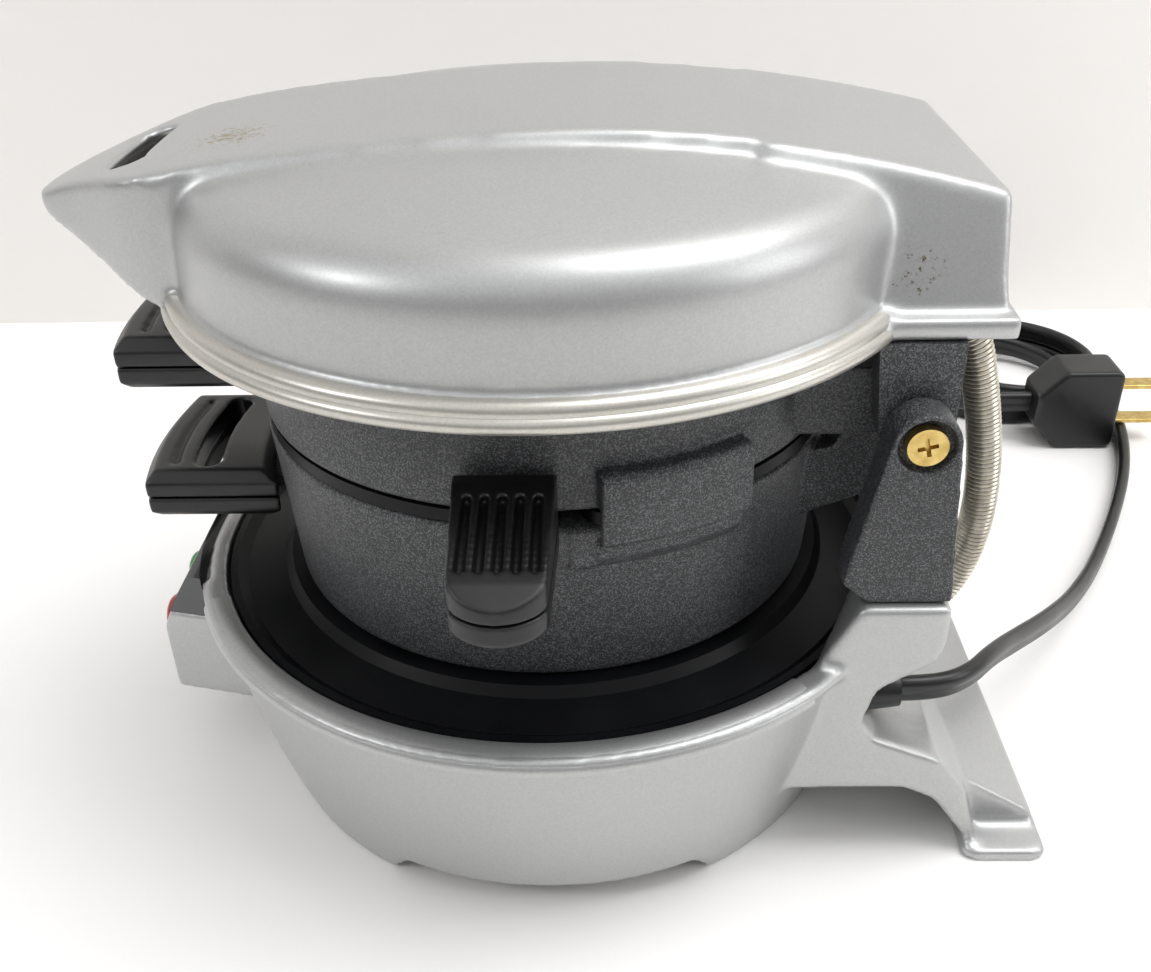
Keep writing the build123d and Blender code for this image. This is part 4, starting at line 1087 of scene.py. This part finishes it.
# ---------------------------------------------------------------- conduit
class NodeTree:
    """A geometry tree with named inputs, put on a host object and baked to a plain mesh."""

    def __init__(self, name: str) -> None:
        """Start a tree that takes and gives geometry.

        Args:
            name: the tree's name.
        """
        self.tree = bpy.data.node_groups.new(name, "GeometryNodeTree")
        for way in ("INPUT", "OUTPUT"):
            self.tree.interface.new_socket("Geometry", in_out=way, socket_type="NodeSocketGeometry")
        self._identifiers: dict[str, str] = {}
        self._values: dict[str, Any] = {}
        self._entry = self.tree.nodes.new("NodeGroupInput")

    def size(self, name: str, value: float | int) -> Socket:
        """Add a named number input.

        Args:
            name: its name.
            value: its value.

        Returns:
            Its socket inside the tree.
        """
        kind = "NodeSocketInt" if isinstance(value, int) else "NodeSocketFloat"
        socket = self.tree.interface.new_socket(name, in_out="INPUT", socket_type=kind)
        self._identifiers[name] = socket.identifier
        self._values[name] = value
        return self._entry.outputs[name]

    def incoming(self) -> Socket:
        """The geometry of the host object."""
        return self._entry.outputs["Geometry"]

    def node(self, kind: str, settings: dict[str, Any] | None = None, **inputs: Any) -> Node:
        """Add a node; the inputs are named with underscores for spaces."""
        named = {label.replace("_", " "): value for label, value in inputs.items()}
        return add_node(self.tree, kind, settings, named)

    def bake(self, host: Piece, shape: Socket, finish: Material, name: str) -> Piece:
        """Close the tree, run it on the host and keep the result as a plain mesh.

        Args:
            host: the object whose mesh goes in; it is removed.
            shape: the instances or mesh that the tree makes.
            finish: the material of the result.
            name: the name of the new piece.

        Returns:
            The new piece, at the origin, with no modifier.
        """
        real = self.node("GeometryNodeRealizeInstances", Geometry=shape)
        worn = self.node(
            "GeometryNodeSetMaterial", Geometry=real.outputs["Geometry"], Material=finish
        )
        add_node(self.tree, "NodeGroupOutput", inputs={"Geometry": worn.outputs["Geometry"]})
        modifier = host.modifiers.new(name, "NODES")
        modifier.node_group = self.tree
        for label, value in self._values.items():
            modifier[self._identifiers[label]] = value
        mesh = evaluated_mesh(host)
        bpy.data.objects.remove(host)
        mesh.name = name
        piece = bpy.data.objects.new(name, mesh)
        bpy.context.scene.collection.objects.link(piece)
        smooth_by_angle(piece)
        return piece


class Stretch(Enum):
    """The three stretches of the conduit, cut apart at the ring and cover bends."""

    LOWER = "lower"
    MIDDLE = "middle"
    UPPER = "upper"


@dataclass
class Conduit:
    """The close-wound steel conduit from the base up to the cover, in millimetres."""

    x: float = 12.0
    bend_y: float = 90.0
    outer_radius: float = 3.7
    wire_radius: float = 0.5
    pitch: float = 1.0
    low_bend: float = 64.0
    ring_bend: float = 86.0
    cover_bend: float = 98.0
    top_bend: float = 115.0
    ring_sides: int = 28
    wire_sides: int = 6
    resolution: int = 16
    line_points: Pairs = (
        (71.0, 34.8),
        (86.0, 34.8),
        (92.0, 45.0),
        (94.4, 58.0),
        (93.6, 74.0),
        (90.2, 91.0),
        (86.0, 105.4),
        (77.1, 112.4),
        (77.0, 120.0),
    )

    def line(self) -> list[Vector]:
        """The conduit's middle line, from the base's passage up into the cover's collar."""
        return smooth_line([mm(self.x, y, z) for y, z in self.line_points], self.resolution)

    def winding(self, stretch: list[Vector], name: str, finish: Material) -> Piece:
        """Wind one stretch: round wire rings, laid side by side along the line.

        Args:
            stretch: the points that the winding follows.
            name: the piece's name.
            finish: the wire's material.

        Returns:
            The wound piece.
        """
        bm = bmesh.new()
        verts = [bm.verts.new(p) for p in stretch]
        for a, b in zip(verts, verts[1:]):
            bm.edges.new((a, b))
        host = mesh_object(name + "_line", bm)
        nodes = NodeTree("conduit_winding")
        pitch = nodes.size("Pitch", self.pitch * MM)
        coil_radius = nodes.size("Coil Radius", (self.outer_radius - self.wire_radius) * MM)
        wire_radius = nodes.size("Wire Radius", self.wire_radius * MM)
        circle = "GeometryNodeCurvePrimitiveCircle"
        coil = nodes.node(circle, Resolution=self.ring_sides, Radius=coil_radius)
        wire = nodes.node(circle, Resolution=self.wire_sides, Radius=wire_radius)
        ring = nodes.node(
            "GeometryNodeCurveToMesh",
            Curve=coil.outputs["Curve"],
            Profile_Curve=wire.outputs["Curve"],
        )
        line = nodes.node("GeometryNodeMeshToCurve", Mesh=nodes.incoming())
        places = nodes.node(
            "GeometryNodeCurveToPoints",
            {"mode": "LENGTH"},
            Curve=line.outputs["Curve"],
            Length=pitch,
        )
        wound = nodes.node(
            "GeometryNodeInstanceOnPoints",
            Points=places.outputs["Points"],
            Instance=ring.outputs["Mesh"],
            Rotation=places.outputs["Rotation"],
        )
        return nodes.bake(host, wound.outputs["Instances"], finish, name)

    def build(self, finishes: Finishes) -> None:
        """Wind the three stretches, each as a piece of its own.

        Args:
            finishes: where the steel comes from.
        """
        line = self.line()
        marks = (-math.inf, self.ring_bend * MM, self.cover_bend * MM, math.inf)
        for k, stretch in enumerate(Stretch):
            low, high = marks[k], marks[k + 1]
            points = [p for p in line if low <= p.z < high]
            if high < math.inf:
                points.append(next(p for p in line if p.z >= high))
            name = "conduit_" + stretch.value
            piece = self.winding(points, name, finishes.get("conduit_steel"))
            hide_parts("conduit")
            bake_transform(piece)
            LOG.info("%s: %d faces", name, len(piece.data.polygons))


# ---------------------------------------------------------------- studio
@dataclass(frozen=True)
class SoftLamp:
    """A square soft light: where it hangs, what it points at, its side in metres and its watts."""

    name: str
    place: Point
    aim: Point
    side: float
    power: float

    def hang(self) -> None:
        """Hang the lamp."""
        data = bpy.data.lights.new(self.name, "AREA")
        data.size = self.side
        data.energy = self.power
        lamp = bpy.data.objects.new(self.name, data)
        bpy.context.scene.collection.objects.link(lamp)
        lamp.location = self.place
        beam = Vector(self.aim) - Vector(self.place)
        lamp.rotation_euler = beam.to_track_quat("-Z", "Y").to_euler()


@dataclass
class Studio:
    """The pale table, the wall behind it, the soft lights and the camera."""

    camera_place: Point = (236.1 * MM, 12.4 * MM, 204.2 * MM)
    heading: float = 181.711
    pitch: float = 31.35
    roll: float = -1.41
    lens: float = 37.53
    sensor_width: float = 36.0
    clip: tuple[float, float] = (0.005, 20.0)
    wall_x: float = -238.0 * MM
    reach: float = 3.0
    table_colour: str = "FAF9F8"
    wall_colour: str = "F1EFEC"
    matt_roughness: float = 0.75
    sky_stops: Pairs = ((0.0, 0.16), (0.3, 0.3), (0.8, 1.0))
    sky_strength: float = 0.95
    backdrop: str = "EDEEF0"
    lamps: tuple[SoftLamp, ...] = (
        SoftLamp("ceiling_lamp", (-0.12, 0.45, 1.15), (0.0, 0.0, 0.05), 0.85, 11.0),
        SoftLamp("window", (0.3, 1.0, 0.5), (0.0, 0.0, 0.08), 0.5, 2.6),
        SoftLamp("far_window", (0.5, -0.95, 0.8), (0.0, 0.0, 0.1), 0.22, 2.6),
    )

    def camera(self) -> None:
        """Stand the camera where the photograph was taken from."""
        data = bpy.data.cameras.new("camera")
        data.lens = self.lens
        data.sensor_width = self.sensor_width
        data.clip_start, data.clip_end = self.clip
        camera = bpy.data.objects.new("camera", data)
        bpy.context.scene.collection.objects.link(camera)
        turn, tilt, lean = (math.radians(v) for v in (self.heading, self.pitch, self.roll))
        level = math.cos(tilt)
        forward = Vector((math.cos(turn) * level, math.sin(turn) * level, -math.sin(tilt)))
        level_right = forward.cross(UP).normalized()
        level_up = level_right.cross(forward)
        right = level_right * math.cos(lean) + level_up * math.sin(lean)
        up = -level_right * math.sin(lean) + level_up * math.cos(lean)
        rotation = Matrix((right, up, -forward)).transposed().to_4x4()
        camera.matrix_world = Matrix.Translation(Vector(self.camera_place)) @ rotation
        bpy.context.scene.camera = camera

    def stage_material(self, name: str, code: str, one_sided: bool) -> Material:
        """Make a matt surface.

        Args:
            name: the material's name.
            code: its colour.
            one_sided: whether it is seen from its front only.

        Returns:
            The material.
        """
        material, tree, shader = new_material(name)
        shader.inputs["Base Color"].default_value = hex_colour(code)
        shader.inputs["Roughness"].default_value = self.matt_roughness
        if one_sided:
            back = add_node(tree, "ShaderNodeNewGeometry").outputs["Backfacing"]
            clear = add_node(tree, "ShaderNodeBsdfTransparent")
            sides = {0: back, 1: shader.outputs["BSDF"], 2: clear.outputs["BSDF"]}
            mix = add_node(tree, "ShaderNodeMixShader", inputs=sides)
            output = next(n for n in tree.nodes if n.bl_idname == "ShaderNodeOutputMaterial")
            tree.links.new(mix.outputs["Shader"], output.inputs["Surface"])
        return material

    def table_and_wall(self) -> None:
        """Lay the table and stand the wall at its far edge."""
        far, x = self.reach, self.wall_x
        table = ((-far, -far, 0), (far, -far, 0), (far, far, 0), (-far, far, 0))
        wall = ((x, -far, 0), (x, far, 0), (x, far, far), (x, -far, far))
        for name, corners, code, one_sided in (
            ("table", table, self.table_colour, False),
            ("wall", wall, self.wall_colour, True),
        ):
            bm = bmesh.new()
            bm.faces.new([bm.verts.new(c) for c in corners])
            sheet = mesh_object(name, bm)
            paint(sheet, self.stage_material("matt_" + name, code, one_sided))

    def light(self) -> None:
        """A bright room: a soft lamp above, a window at the right and a small one at the left."""
        world = bpy.data.worlds.new("room")
        bpy.context.scene.world = world
        world.use_nodes = True
        tree = world.node_tree
        tree.nodes.clear()
        direction = add_node(tree, "ShaderNodeTexCoord").outputs["Generated"]
        height = add_node(tree, "ShaderNodeSeparateXYZ", inputs={"Vector": direction}).outputs["Z"]
        sky = ramp(tree, height, [(rise, grey(level)) for rise, level in self.sky_stops])
        seen = add_node(tree, "ShaderNodeLightPath").outputs["Is Camera Ray"]
        shown = mixed(tree, seen, sky, hex_colour(self.backdrop))
        inputs = {"Color": shown, "Strength": self.sky_strength}
        back = add_node(tree, "ShaderNodeBackground", inputs=inputs)
        add_node(tree, "ShaderNodeOutputWorld", inputs={"Surface": back.outputs["Background"]})
        for lamp in self.lamps:
            lamp.hang()

    def build(self) -> None:
        """Build the whole studio and set how colours are shown."""
        self.camera()
        self.table_and_wall()
        self.light()
        bpy.context.scene.view_settings.view_transform = "Standard"


def main() -> None:
    """Build the studio, dress the nodes and add the pieces in order."""
    logging.basicConfig(level=logging.INFO, format="%(name)s: %(message)s")
    Studio().build()
    finishes = Finishes()
    CadNodes().dress(finishes)
    MouldedParts().build(finishes)
    HingeScrews().build(finishes)
    for trim in TRIMS:
        trim.build(finishes)
    PowerCord().build(finishes)
    Conduit().build(finishes)


if __name__ == "__main__":
    main()
